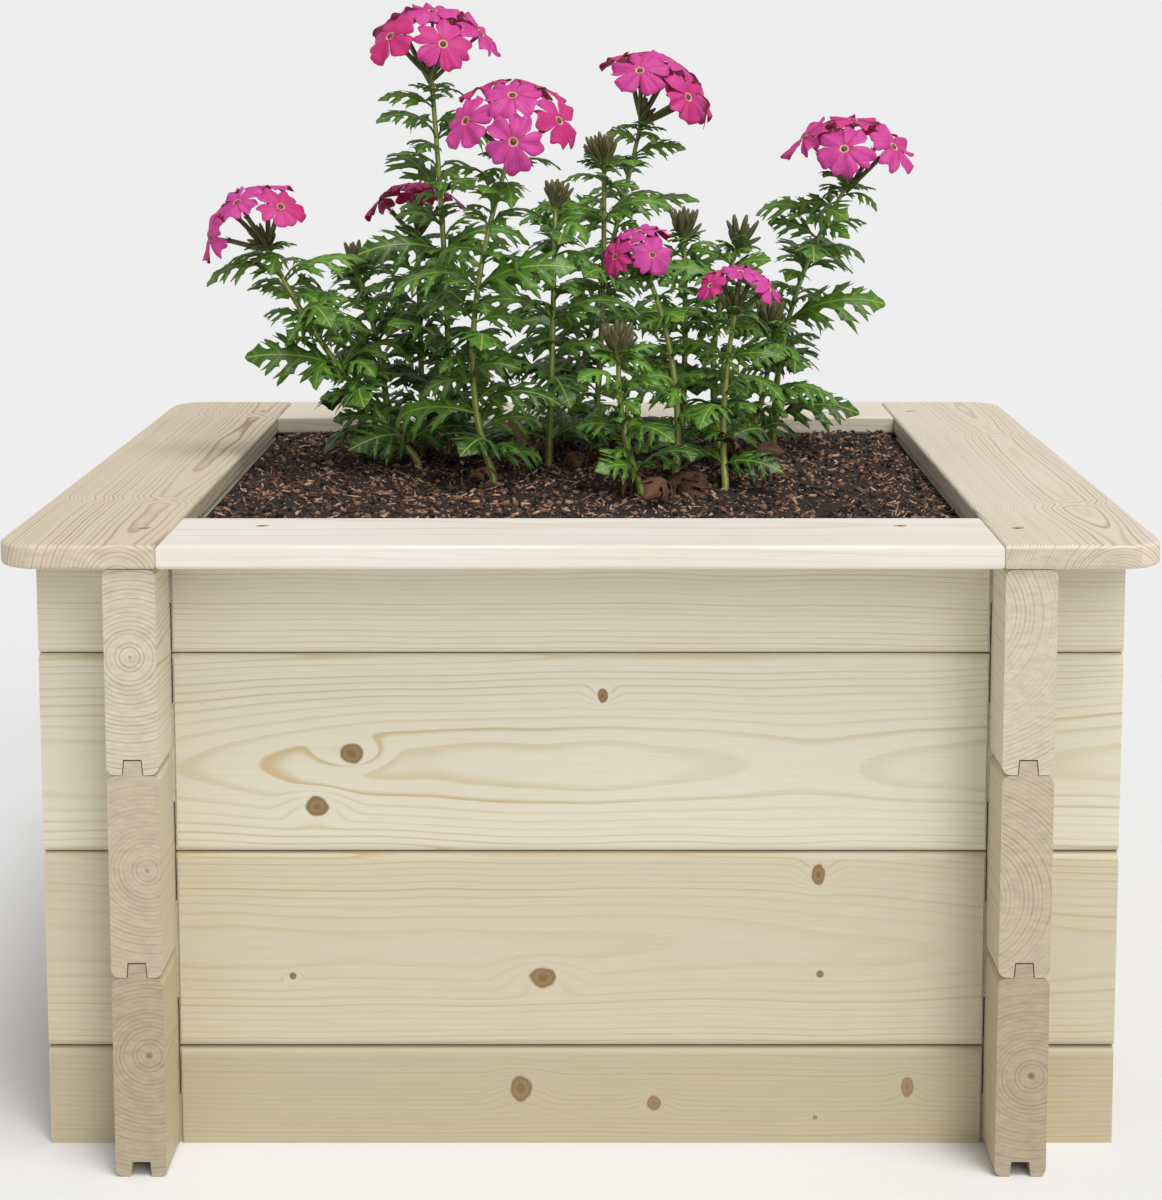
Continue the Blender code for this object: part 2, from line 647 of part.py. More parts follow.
def build_plants():
    shoots, blooms, solids = {}, {}, []
    for stem in STEMS:
        places = head_places(stem)
        length, radius = BUD_LENGTH * stem.head, BUD_RADIUS
        if stem.florets:
            length, radius = FLORET_REACH * stem.head * CALYX_SHARE, CALYX_RADIUS
            blooms[stem.name] = [floret_mesh(stem, place) for place in places]
        spikes = [spike_mesh(stem, i, place, length, radius) for i, place in enumerate(places)]
        shoots[stem.name] = [stem_mesh(stem)] + spikes
        for mesh in shoots[stem.name] + blooms.get(stem.name, []):
            tree = BVHTree.FromPolygons([v.co for v in mesh.vertices], [p.vertices for p in mesh.polygons])
            solids.append((stem.name, tree, tree))
    leaves = grow_leaves(solids)
    for stem in STEMS:
        blades = [leaf_mesh(leaf) for leaf in leaves[stem.name]]
        joined("stem_" + stem.name, shoots[stem.name] + blades, foliage)
        if stem.florets:
            joined("bloom_" + stem.name, blooms[stem.name], petal)
    return sum(len(found) for found in leaves.values())


# Soil
def build_soil():
    """A block that fills the walls, its top an uneven sheet of crumbs, with a plain hole for each stem."""
    draw = random.Random(SEED + 1)
    bm = bmesh.new()
    bmesh.ops.create_grid(bm, x_segments=SOIL_CELLS, y_segments=SOIL_CELLS, size=SOIL_HALF)
    top = bm.faces[:]
    for vert in bm.verts:
        at_edge = max(abs(vert.co.x), abs(vert.co.y)) > SOIL_HALF - 1e-5
        vert.co.z = SOIL_EDGE_LEVEL if at_edge else SOIL_LEVEL + draw.uniform(-SOIL_RELIEF, SOIL_RELIEF)
    lowered = bmesh.ops.extrude_face_region(bm, geom=top)["geom"]
    for vert in (g for g in lowered if isinstance(g, bmesh.types.BMVert)):
        vert.co.z = 0
    below = [g for g in lowered if isinstance(g, bmesh.types.BMFace)]
    bmesh.ops.dissolve_faces(bm, faces=below, use_verts=False)
    soil = add_object("soil", mesh_from(bm, "soil"), bed, earth)
    holes = new_collection("stem_holes", cutters)
    for stem in STEMS:
        depth = ROOT_DEPTH + FIT + SOIL_RELIEF * 2
        hole = bmesh.new()
        bmesh.ops.create_cone(
            hole, cap_ends=True, segments=HOLE_SIDES, radius1=HOLE_RADIUS, radius2=HOLE_RADIUS, depth=depth
        )
        middle = SOIL_LEVEL - ROOT_DEPTH - FIT + depth / 2
        bmesh.ops.translate(hole, verts=hole.verts, vec=(*stem.base, middle))
        add_cutter("stem_hole", mesh_from(hole, "stem_hole"), holes)
    cut_with(soil, holes)


clear_scene()
bed = new_collection("planted_raised_bed")
cutters = new_collection("cutters")
cutters.hide_render = True
wall_wood = material("planed_spruce", (0.66, 0.55, 0.37), 0.62)
rim_wood = material("rim_spruce", (0.68, 0.58, 0.42), 0.60)
screw_steel = material("zinc_plated_steel", (0.72, 0.66, 0.48), 0.35, 1.0)
earth = material("potting_soil", (0.045, 0.026, 0.020), 0.95)
foliage = material("verbena_foliage", (0.045, 0.130, 0.025), 0.55)
petal = material("verbena_petals", (0.780, 0.050, 0.330), 0.50)
build_walls()
build_rim()
print("leaves:", build_plants())
build_soil()
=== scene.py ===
# %% [markdown]
# # A planted raised bed
# A small bed of planed spruce boards that interlock at the corners, with a flat rim, potting soil and three
# garden verbenas. The CAD model gives every piece its place and main shape. This lesson dresses it: first the
# studio, then wood, soil, leaves and flowers. Lengths are in metres and Z points up.

# %% Load the frame
import json
import math
import random
from collections import namedtuple

import bmesh
import bpy
import numpy as np
from mathutils import Matrix, Vector, noise

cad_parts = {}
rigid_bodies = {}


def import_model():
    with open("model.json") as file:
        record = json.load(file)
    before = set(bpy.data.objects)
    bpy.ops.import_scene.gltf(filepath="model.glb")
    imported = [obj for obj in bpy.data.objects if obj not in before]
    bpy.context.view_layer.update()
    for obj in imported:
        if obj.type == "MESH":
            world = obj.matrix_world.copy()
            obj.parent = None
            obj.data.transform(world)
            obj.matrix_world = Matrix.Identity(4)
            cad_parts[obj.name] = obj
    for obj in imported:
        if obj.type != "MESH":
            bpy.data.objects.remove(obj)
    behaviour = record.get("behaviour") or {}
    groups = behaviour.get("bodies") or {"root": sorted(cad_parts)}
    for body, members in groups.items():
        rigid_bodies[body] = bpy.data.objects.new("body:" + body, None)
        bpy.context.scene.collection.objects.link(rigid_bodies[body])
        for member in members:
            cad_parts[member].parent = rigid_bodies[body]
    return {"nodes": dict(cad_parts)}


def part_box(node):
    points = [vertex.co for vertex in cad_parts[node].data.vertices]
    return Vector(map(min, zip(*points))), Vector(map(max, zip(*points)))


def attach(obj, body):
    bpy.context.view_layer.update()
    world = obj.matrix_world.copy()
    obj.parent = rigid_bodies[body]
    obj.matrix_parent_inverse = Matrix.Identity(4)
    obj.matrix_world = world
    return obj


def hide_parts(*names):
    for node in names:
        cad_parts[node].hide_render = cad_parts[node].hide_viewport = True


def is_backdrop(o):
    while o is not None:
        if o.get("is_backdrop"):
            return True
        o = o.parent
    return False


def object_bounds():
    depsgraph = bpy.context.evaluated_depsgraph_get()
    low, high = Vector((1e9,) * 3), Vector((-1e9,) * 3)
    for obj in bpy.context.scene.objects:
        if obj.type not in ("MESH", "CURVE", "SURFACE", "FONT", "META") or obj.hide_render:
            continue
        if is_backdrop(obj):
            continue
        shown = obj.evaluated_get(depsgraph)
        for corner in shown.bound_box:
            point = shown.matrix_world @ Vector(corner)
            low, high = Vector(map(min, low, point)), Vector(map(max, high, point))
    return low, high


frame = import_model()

CAD_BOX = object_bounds()
scene = bpy.context.scene
scene.view_settings.view_transform = "Standard"
print("nodes in the frame:", len(frame["nodes"]), "box:", [round(v, 3) for corner in CAD_BOX for v in corner])

# %% [markdown]
# ## Small helpers
# A painter's hex colours are sRGB, but shaders add up light, so one function turns them to linear numbers.
# Materials are graphs of nodes, and one function adds a node with its settings and its links. Every Mix node
# here mixes two colours. Finished pieces all ride on the bed's one body.

# %% Material helpers
MIX_SOCKETS, MIXED_COLOUR = (0, 6, 7), 2


def linear(hex_colour):
    """An sRGB hex colour as the linear RGBA that a shader works in."""
    shares = [int(hex_colour[i:i + 2], 16) / 255 for i in (1, 3, 5)]
    return (*(s / 12.92 if s <= 0.04045 else ((s + 0.055) / 1.055) ** 2.4 for s in shares), 1.0)


def node(tree, kind, *wires, **named):
    """Adds a node. Wires fill its sockets in their order, and a name with a capital fills the socket of that
    name. A wire is a plain value, another node, or a node's output. Other names are the node's settings."""
    made = tree.nodes.new("ShaderNode" + kind)
    order = range(len(wires))
    if kind == "Mix":
        made.data_type, order = "RGBA", MIX_SOCKETS
    sockets = dict(zip(order, wires))
    for name, value in named.items():
        if name[0].isupper():
            sockets[name] = value
        else:
            setattr(made, name, value)
    for key, wire in sockets.items():
        if isinstance(wire, bpy.types.Node):
            wire = wire.outputs[MIXED_COLOUR if wire.bl_idname == "ShaderNodeMix" else 0]
        if isinstance(wire, bpy.types.NodeSocket):
            tree.links.new(wire, made.inputs[key])
        else:
            made.inputs[key].default_value = wire
    return made


def new_material(name, **values):
    """A material with a Principled shader, and the plain numbers that stay the same all over it."""
    made = bpy.data.materials.new(name)
    made.use_nodes = True
    shader = made.node_tree.nodes["Principled BSDF"]
    for key, value in values.items():
        shader.inputs[key.replace("_", " ")].default_value = value
    return made, made.node_tree


def paint(tree, colour, height=None, strength=0.0, distance=0.0):
    """Gives the shader its mixed colour, and a bump whose full height is a distance in metres."""
    shader = tree.nodes["Principled BSDF"]
    tree.links.new(colour.outputs[MIXED_COLOUR], shader.inputs["Base Color"])
    if height is not None:
        bump = node(tree, "Bump", Height=height, Strength=strength, Distance=distance)
        tree.links.new(bump.outputs[0], shader.inputs["Normal"])


def marks_of(tree):
    """The three numbers that each point of a pile carries for its material."""
    marks = node(tree, "Attribute", attribute_name="marks").outputs["Vector"]
    return tuple(node(tree, "SeparateXYZ", marks).outputs)


print("middle grey is", round(linear("#808080")[0], 3), "as a linear number")

# %% Mesh helpers
def new_object(name, data):
    made = bpy.data.objects.new(name, data)
    scene.collection.objects.link(made)
    return made


def put(name, mesh, finish, replaces=()):
    """Places a finished mesh in the scene and lets it ride on the bed."""
    mesh.name = name
    piece = new_object(name, mesh)
    mesh.materials.clear()
    mesh.materials.append(finish)
    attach(piece, "root")
    if replaces:
        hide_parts(*replaces)
    return piece


def mesh_of(bm, name):
    """Turns a working mesh into a lasting one."""
    mesh = bpy.data.meshes.new(name)
    bm.to_mesh(mesh)
    bm.free()
    return mesh


def shape_of(bm):
    """A working mesh as arrays: its points, and its faces as triangles."""
    bmesh.ops.triangulate(bm, faces=bm.faces)
    bm.verts.index_update()
    points = np.array([vert.co[:] for vert in bm.verts])
    corners = np.array([[vert.index for vert in face.verts] for face in bm.faces])
    bm.free()
    return points, corners


def add_layer(bm, way):
    """Extrudes all faces by way, so that a flat shape gets a thickness."""
    moved = bmesh.ops.extrude_face_region(bm, geom=bm.faces[:], use_keep_orig=True)["geom"]
    bmesh.ops.translate(bm, verts=[part for part in moved if isinstance(part, bmesh.types.BMVert)], vec=way)
    return moved


class Pile:
    """Copies of small shapes, gathered into one mesh. Each point keeps three numbers for its material, and
    whether it lies on an underside."""

    def __init__(self):
        self.points, self.corners, self.marks, self.under = [], [], [], []
        self.count = 0

    def add(self, points, corners, marks, under=None):
        self.points.append(points)
        self.corners.append(corners + self.count)
        self.marks.append(np.broadcast_to(marks, points.shape))
        self.under.append(np.zeros(len(points)) if under is None else under)
        self.count += len(points)

    def triangles(self):
        return sum(len(corners) for corners in self.corners)

    def mesh(self):
        points, corners = np.concatenate(self.points), np.concatenate(self.corners)
        mesh = bpy.data.meshes.new("pile")
        mesh.vertices.add(len(points))
        mesh.vertices.foreach_set("co", points.astype(np.float32).ravel())
        mesh.loops.add(corners.size)
        mesh.loops.foreach_set("vertex_index", corners.astype(np.int32).ravel())
        mesh.polygons.add(len(corners))
        mesh.polygons.foreach_set("loop_start", np.arange(0, corners.size, 3, dtype=np.int32))
        mesh.update(calc_edges=True)
        marks = mesh.attributes.new("marks", "FLOAT_VECTOR", "POINT")
        marks.data.foreach_set("vector", np.concatenate(self.marks).astype(np.float32).ravel())
        under = mesh.attributes.new("under", "FLOAT", "POINT")
        under.data.foreach_set("value", np.concatenate(self.under).astype(np.float32))
        mesh.shade_smooth()
        return mesh


# %% [markdown]
# ## Studio
# A catalogue photograph of furniture is taken with a long lens, on a pale sweep in a white room, with soft
# light from the front and from above. Two wide far lights and a bright world give that. The camera stands in
# front of the bed, as high as its tallest flowers, and looks slightly down. The lens shift moves the frame
# down a little, as an architect's lens does, so that the camera stays almost level and the boards' upright
# edges almost upright. The floor is a wide pale plane, which is marked as stage and isn't part of the bed.

# %% Camera, lights and floor
CAMERA_PLACE, CAMERA_PITCH = (0.0107, -1.637, 0.599), math.radians(6.86)
LENS, SHIFT = 76.5, (-0.0161, -0.180)
FLOOR_HALF = 25

camera_data = bpy.data.cameras.new("photo_camera")
camera_data.lens = LENS
camera_data.shift_x, camera_data.shift_y = SHIFT
camera = new_object("photo_camera", camera_data)
camera.location = CAMERA_PLACE
camera.rotation_euler = (math.radians(90) - CAMERA_PITCH, 0, 0)
scene.camera = camera


def soft_sun(name, strength, width, turn, height):
    """A wide far light that comes from turn degrees to the camera's right, height degrees above the floor."""
    data = bpy.data.lights.new(name, "SUN")
    data.energy, data.angle = strength, math.radians(width)
    new_object(name, data).rotation_euler = (math.radians(90 - height), 0, math.radians(turn))


soft_sun("front_bank", 0.95, 28, 24, 31)
soft_sun("high_bank", 1.95, 28, 35, 68)

# A white room: bright walls low above the floor, and a darker ceiling
world = bpy.data.worlds.new("white_room")
scene.world = world
world.use_nodes = True
room = world.node_tree
_, _, up = node(room, "SeparateXYZ", node(room, "TexCoord").outputs["Generated"]).outputs
walls = node(room, "MapRange", up, 0.11, 0.24, 0.849, 0.42, interpolation_type="SMOOTHSTEP")
room.nodes["Background"].inputs["Color"].default_value = linear("#FFFFFF")
room.links.new(walls.outputs[0], room.nodes["Background"].inputs["Strength"])

paper, tree = new_material("matt_paper_sweep", Roughness=0.9)
mottle = node(tree, "TexNoise", Vector=node(tree, "TexCoord").outputs["Object"], Scale=3.0)
paint(tree, node(tree, "Mix", mottle, linear("#DEDEDE"), linear("#E1E1E1")))
bm = bmesh.new()
bmesh.ops.create_grid(bm, x_segments=1, y_segments=1, size=FLOOR_HALF)
floor = new_object("floor", mesh_of(bm, "floor"))
floor.data.materials.append(paper)
floor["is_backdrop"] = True
print("camera", [round(v, 3) for v in camera.location], "lens", LENS)

# %% [markdown]
# ## Planed spruce
# Spruce is pale and low in contrast. A board's figure isn't painted on it: it is where flat faces cut the
# trunk's growth rings. So the material measures how far each point is from the trunk's pith line, and that
# distance, divided by the ring width, gives straight lines, cathedrals or, on the ends, arcs, with no seam
# between them. Each board carries an attribute, grain, with the point's place on the board: along it, through
# it, and up it. Another attribute, end, marks its sawn ends.

# %% Growth rings
RING_WIDTH, RING_WAVE = 0.0024, 0.0125


def trunk_radius(tree, place, away, pith, tilt):
    """How far a point is from the pith, with the slow waves of a real trunk."""
    turned = node(tree, "Mapping", Vector=place, Location=(0, -pith[0], -pith[1]),
                  Rotation=(0, -math.radians(tilt[1]), math.radians(tilt[0])))
    across = node(tree, "VectorMath", turned, (0, 1, 1), operation="MULTIPLY")
    radius = node(tree, "VectorMath", across, operation="LENGTH").outputs["Value"]
    stretched = node(tree, "Mapping", Vector=away, Scale=(4.2, 8, 8))
    wave = node(tree, "TexNoise", Vector=stretched, Scale=1.0, Detail=2.5, Roughness=0.45)
    wave = node(tree, "Math", wave, 0.5, operation="SUBTRACT")
    return node(tree, "Math", wave, RING_WAVE, radius, operation="MULTIPLY_ADD")


def year_rings(tree, radius, ring_width):
    """Early wood darkens towards the late wood, then starts again. Some years are stronger than others."""
    rings = node(tree, "Math", radius, ring_width, operation="DIVIDE")
    share = node(tree, "Math", rings, operation="FRACT")
    rise = node(tree, "MapRange", share, 0.52, 0.90, interpolation_type="SMOOTHERSTEP")
    drop = node(tree, "MapRange", share, 0.90, 1.0, 1.0, 0.0, interpolation_type="SMOOTHSTEP")
    ring = node(tree, "Math", rise, drop, operation="MULTIPLY")
    year = node(tree, "Math", rings, operation="FLOOR")
    year = node(tree, "TexWhiteNoise", W=year, noise_dimensions="1D").outputs["Value"]
    year = node(tree, "MapRange", year, 0.0, 1.0, 0.12, 1.0)
    return node(tree, "Math", ring, year, operation="MULTIPLY")


print("one ring is", RING_WIDTH * 1000, "mm wide")

# %% [markdown]
# Knots are side branches. They push the rings aside, and show as brown discs with a dark heart, rings of
# their own, a ragged edge and a pale halo of sapwood. Each is given by its place along and up the board, its
# half width and half height, and how strongly it shows.

# %% Knots
Knot = namedtuple("Knot", "along up wide high tone", defaults=(1.0,))


def knot_distance(tree, off, wide, high):
    """How far a point is from a knot's middle, where 1 is half a width away, or half a height."""
    scaled = node(tree, "VectorMath", off, (1 / wide, 0, 1 / high), operation="MULTIPLY")
    return node(tree, "VectorMath", scaled, operation="LENGTH").outputs["Value"]


def largest(tree, shares):
    most = shares[0]
    for share in shares[1:]:
        most = node(tree, "Math", most, share, operation="MAXIMUM")
    return most


def with_knots(tree, place, away, knots, radius):
    """The radius with the rings pushed aside, and three shares: the knots, their pale wood, their halos."""
    torn = node(tree, "TexNoise", Vector=away, Scale=170.0, Detail=2.0)
    torn = node(tree, "Math", torn, 0.5, operation="SUBTRACT")
    masks, cores, halos = [], [], []
    for knot in knots:
        off = node(tree, "VectorMath", place, (knot.along, 0, knot.up), operation="SUBTRACT")
        reach = knot_distance(tree, off, knot.wide / 0.32, knot.high / 0.60)
        push = node(tree, "MapRange", reach, 0.0, 1.7, 0.55 * knot.high + 0.001, 0.0,
                    interpolation_type="SMOOTHERSTEP")
        radius = node(tree, "Math", radius, push, operation="ADD")
        disc = knot_distance(tree, off, knot.wide, knot.high)
        ragged = node(tree, "Math", torn, 0.5, disc, operation="MULTIPLY_ADD")
        masks.append(node(tree, "MapRange", ragged, 1.16, 0.86, 0.0, knot.tone,
                          interpolation_type="SMOOTHSTEP"))
        halos.append(node(tree, "MapRange", ragged, 1.1, 2.1, 0.55, 0.0, interpolation_type="SMOOTHSTEP"))
        growth = node(tree, "Math", node(tree, "Math", ragged, 15.0, operation="MULTIPLY"), operation="SINE")
        growth = node(tree, "MapRange", growth, -1.0, 1.0, 0.80, 1.0)
        core = node(tree, "MapRange", ragged, 1.0, 0.75, 0.35, 1.0)
        heart = node(tree, "MapRange", ragged, 0.10, 0.50, 0.60, 1.0)
        core = node(tree, "Math", core, heart, operation="MULTIPLY")
        cores.append(node(tree, "Math", core, growth, operation="MULTIPLY"))
    return radius, largest(tree, masks), largest(tree, cores), largest(tree, halos)


# %% [markdown]
# Between the rings the wood has fine fibres, and broad pale and warm areas in which the rings are weaker or
# stronger. Open end grain drinks in light: it is pinker and darker, carries the saw's marks, and shows a
# brown pith.

# %% Spruce material
def sawn_wood(tree, place, patch, ring, radius, sawn):
    faint = node(tree, "MapRange", patch, 0.35, 0.65, 0.30, 0.80)
    faint = node(tree, "Math", ring, faint, operation="MULTIPLY")
    end_ring = node(tree, "Mix", faint, linear(sawn), linear("#937A58"))
    saw = node(tree, "Mapping", Vector=place, Rotation=(math.radians(8), 0, 0), Scale=(1, 130, 420))
    saw = node(tree, "TexNoise", Vector=saw, Scale=1.0, Detail=4.0)
    saw = node(tree, "MapRange", saw, 0.3, 0.7, 0.88, 1.08)
    end_wood = node(tree, "VectorMath", end_ring, Scale=saw, operation="SCALE")
    pith = node(tree, "MapRange", radius, 0.0009, 0.0022, 0.85, 0.0)
    return node(tree, "Mix", pith, end_wood, linear("#7A4A2C"))


def spruce(name, pith, tilt, knots, early, late="#B4944C", sawn="#CDBFA8", seed=0.0, contrast=0.82,
           ring_width=RING_WIDTH):
    """Planed spruce. pith: where the trunk's centre passes, through and up. tilt: how it strays along the
    board, in degrees, the same two ways. early, late, sawn: the pale and dark wood, and its cut ends."""
    made, tree = new_material(name, Roughness=0.58)
    place = node(tree, "Attribute", attribute_name="grain").outputs["Vector"]
    end = node(tree, "Attribute", attribute_name="end").outputs["Fac"]
    away = node(tree, "Mapping", Vector=place, Location=(seed, 0, 0))
    radius = trunk_radius(tree, place, away, pith, tilt)
    if knots:
        radius, knot_mask, knot_core, halo = with_knots(tree, place, away, knots, radius)
    ring = year_rings(tree, radius, ring_width)

    # Fibres about 0.6 mm wide and a few centimetres long
    fine = node(tree, "Mapping", Vector=away, Scale=(26, 1500, 1500))
    fibre = node(tree, "TexNoise", Vector=fine, Scale=1.0, Detail=2.0)
    streak = node(tree, "MapRange", fibre, 0.25, 0.75, 0.95, 1.04)
    broad = node(tree, "Mapping", Vector=away, Scale=(4.0, 9.0, 9.0))
    patch = node(tree, "TexNoise", Vector=broad, Scale=1.0, Detail=1.0)
    weight = node(tree, "MapRange", patch, 0.35, 0.65, contrast * 0.45, contrast)
    amount = node(tree, "Math", ring, weight, operation="MULTIPLY")
    wood = node(tree, "Mix", amount, linear(early), linear(late))
    warm = node(tree, "MapRange", patch, 0.45, 0.75, 0.0, 0.22)
    wood = node(tree, "Mix", warm, wood, linear("#CFC29F"))
    wood = node(tree, "VectorMath", wood, Scale=streak, operation="SCALE")
    surface = node(tree, "Mix", end, wood, sawn_wood(tree, place, patch, ring, radius, sawn))

    if knots:
        branch = node(tree, "Mix", knot_core, linear("#49341F"), linear("#957750"))
        branch = node(tree, "VectorMath", branch, Scale=streak, operation="SCALE")
        sides = node(tree, "Math", 1.0, end, operation="SUBTRACT")
        pale = node(tree, "Math", halo, sides, operation="MULTIPLY")
        surface = node(tree, "Mix", pale, surface, linear(early))
        shown = node(tree, "Math", knot_mask, sides, operation="MULTIPLY")
        surface = node(tree, "Mix", shown, surface, branch)
    paint(tree, surface, node(tree, "Math", fibre, ring, operation="SUBTRACT"), 0.35, 0.00025)
    return made


# %% [markdown]
# ## Wall boards
# Each board is planed with a tongue on its upper edge, a groove in its lower edge and rounded arrises, and is
# notched a quarter of its height at each corner, so that crossing boards lock. It is made as a joiner would:
# the section is drawn as a few points and extruded to length, the long arrises are bevelled, and boxes are
# cut out for the notches. All four walls use the same board, and only the lowest and highest differ.

# %% Board shape
LENGTH, COVER, THICK = 0.600, 0.113, 0.028
WALL_LINE = 0.241
QUARTER, FIT, PLAY = COVER / 4, 0.0003, 0.0007
ARRIS, KERF, OPENING = 0.0044, 0.0018, 0.0003
TONGUE = ((0.00525, 0.0), (0.0045, 0.0080))
GROOVE = ((0.0058, 0.0), (0.0050, 0.0086))
SAME = 1e-6


def mirrored(points, level):
    """Points on the left of a section, then the same ones on its right, in the order of a walk around it."""
    return [(-y, level + z) for y, z in points] + [(y, level + z) for y, z in points[::-1]]


def board_shape(height, grooved=True, tongued=True, rounded=True):
    """A board along X from its lower shoulder at 0 to its upper one."""
    half, top = THICK / 2, height - FIT
    low = OPENING if grooved else 0.0
    high = top - (OPENING if rounded else 0.0)
    section = [(-half, low), *(mirrored(GROOVE, 0.0) if grooved else ()), (half, low), (half, high)]
    if tongued:
        section += [(-y, z) for y, z in mirrored(TONGUE, top)]
    section += [(-half, high)]
    bm = bmesh.new()
    bm.faces.new([bm.verts.new((-LENGTH / 2, y, z)) for y, z in section])
    add_layer(bm, (LENGTH, 0, 0))
    levels = ([low] if grooved else []) + ([high] if rounded else [])
    arrises = [
        edge for edge in bm.edges
        if abs(edge.verts[0].co.x - edge.verts[1].co.x) > LENGTH / 2
        and abs(abs(edge.verts[0].co.y) - half) < SAME
        and any(abs(edge.verts[0].co.z - level) < SAME for level in levels)
    ]
    bmesh.ops.bevel(bm, geom=arrises, offset=ARRIS, segments=7, profile=0.5, affect="EDGES", material=-1)
    bmesh.ops.recalc_face_normals(bm, faces=bm.faces)
    return bm


def boolean_cut(bm, boxes, name, extra=()):
    """The shape with boxes, given by their lowest and highest corners, and other shapes cut out of it."""
    blank = new_object(name, mesh_of(bm, name))
    cutters = bpy.data.collections.new("cutters")
    scene.collection.children.link(cutters)
    for low, high in boxes:
        cutter = bmesh.new()
        bmesh.ops.create_cube(cutter, size=1.0)
        size = Vector(high) - Vector(low)
        bmesh.ops.scale(cutter, verts=cutter.verts, vec=size)
        bmesh.ops.translate(cutter, verts=cutter.verts, vec=Vector(low) + size / 2)
        extra = (*extra, cutter)
    for cutter in extra:
        cutters.objects.link(bpy.data.objects.new("cutter", mesh_of(cutter, "cutter")))
    cut = blank.modifiers.new("cut", "BOOLEAN")
    cut.operand_type, cut.collection, cut.operation = "COLLECTION", cutters, "DIFFERENCE"
    result = bpy.data.meshes.new_from_object(blank.evaluated_get(bpy.context.evaluated_depsgraph_get()))
    for obj in [*cutters.objects, blank]:
        bpy.data.objects.remove(obj)
    bpy.data.collections.remove(cutters)
    return result


print("a board is", LENGTH * 1000, "x", COVER * 1000, "x", THICK * 1000, "mm")

# %% Notches and grain
BELOW, ABOVE = -0.01, 0.02  # how far the cutters reach past a board


def with_grain(mesh):
    """Keeps each point's place on its board, and marks the faces that are end grain."""
    grain = mesh.attributes.new("grain", "FLOAT_VECTOR", "POINT")
    grain.data.foreach_set("vector", [c for vert in mesh.vertices for c in vert.co])
    end = mesh.attributes.new("end", "FLOAT", "FACE")
    end.data.foreach_set("value", [float(abs(face.normal.x) > 0.9) for face in mesh.polygons])
    return mesh


def notched(height, lower=True, upper=True, **edges):
    """A board with notches for the crossing walls, and a fine kerf where it meets each of them."""
    boxes = []
    for x in (-WALL_LINE, WALL_LINE):
        low, high = x - THICK / 2 - PLAY, x + THICK / 2 + PLAY
        if lower:
            boxes.append(((low, -THICK, BELOW), (high, THICK, QUARTER + FIT / 2)))
        if upper:
            boxes.append(((low, -THICK, height - QUARTER - FIT / 2), (high, THICK, height + ABOVE)))
        shoulder = math.copysign(WALL_LINE - THICK / 2, x)
        for face in (-THICK / 2, THICK / 2):
            left, right = sorted((shoulder + math.copysign(PLAY, x), shoulder - math.copysign(KERF, x)))
            boxes.append(((left, face - KERF, BELOW), (right, face + KERF, height + ABOVE)))
    return with_grain(boolean_cut(board_shape(height, **edges), boxes, "board"))


full_board = notched(COVER)
crown_board = notched(COVER, tongued=False)
foot_board = notched(COVER / 2, lower=False, grooved=False)
head_board = notched(COVER / 2, upper=False, tongued=False, rounded=False)
print("faces of a full board:", len(full_board.polygons))

# %% [markdown]
# ## Boards in place
# Side boards are cut from the middle of the trunk, so their ends show the pith with rings around it. The
# front and back boards are cut further out. Every board has its own pith line and its own knots, which makes
# each one a different piece of wood.

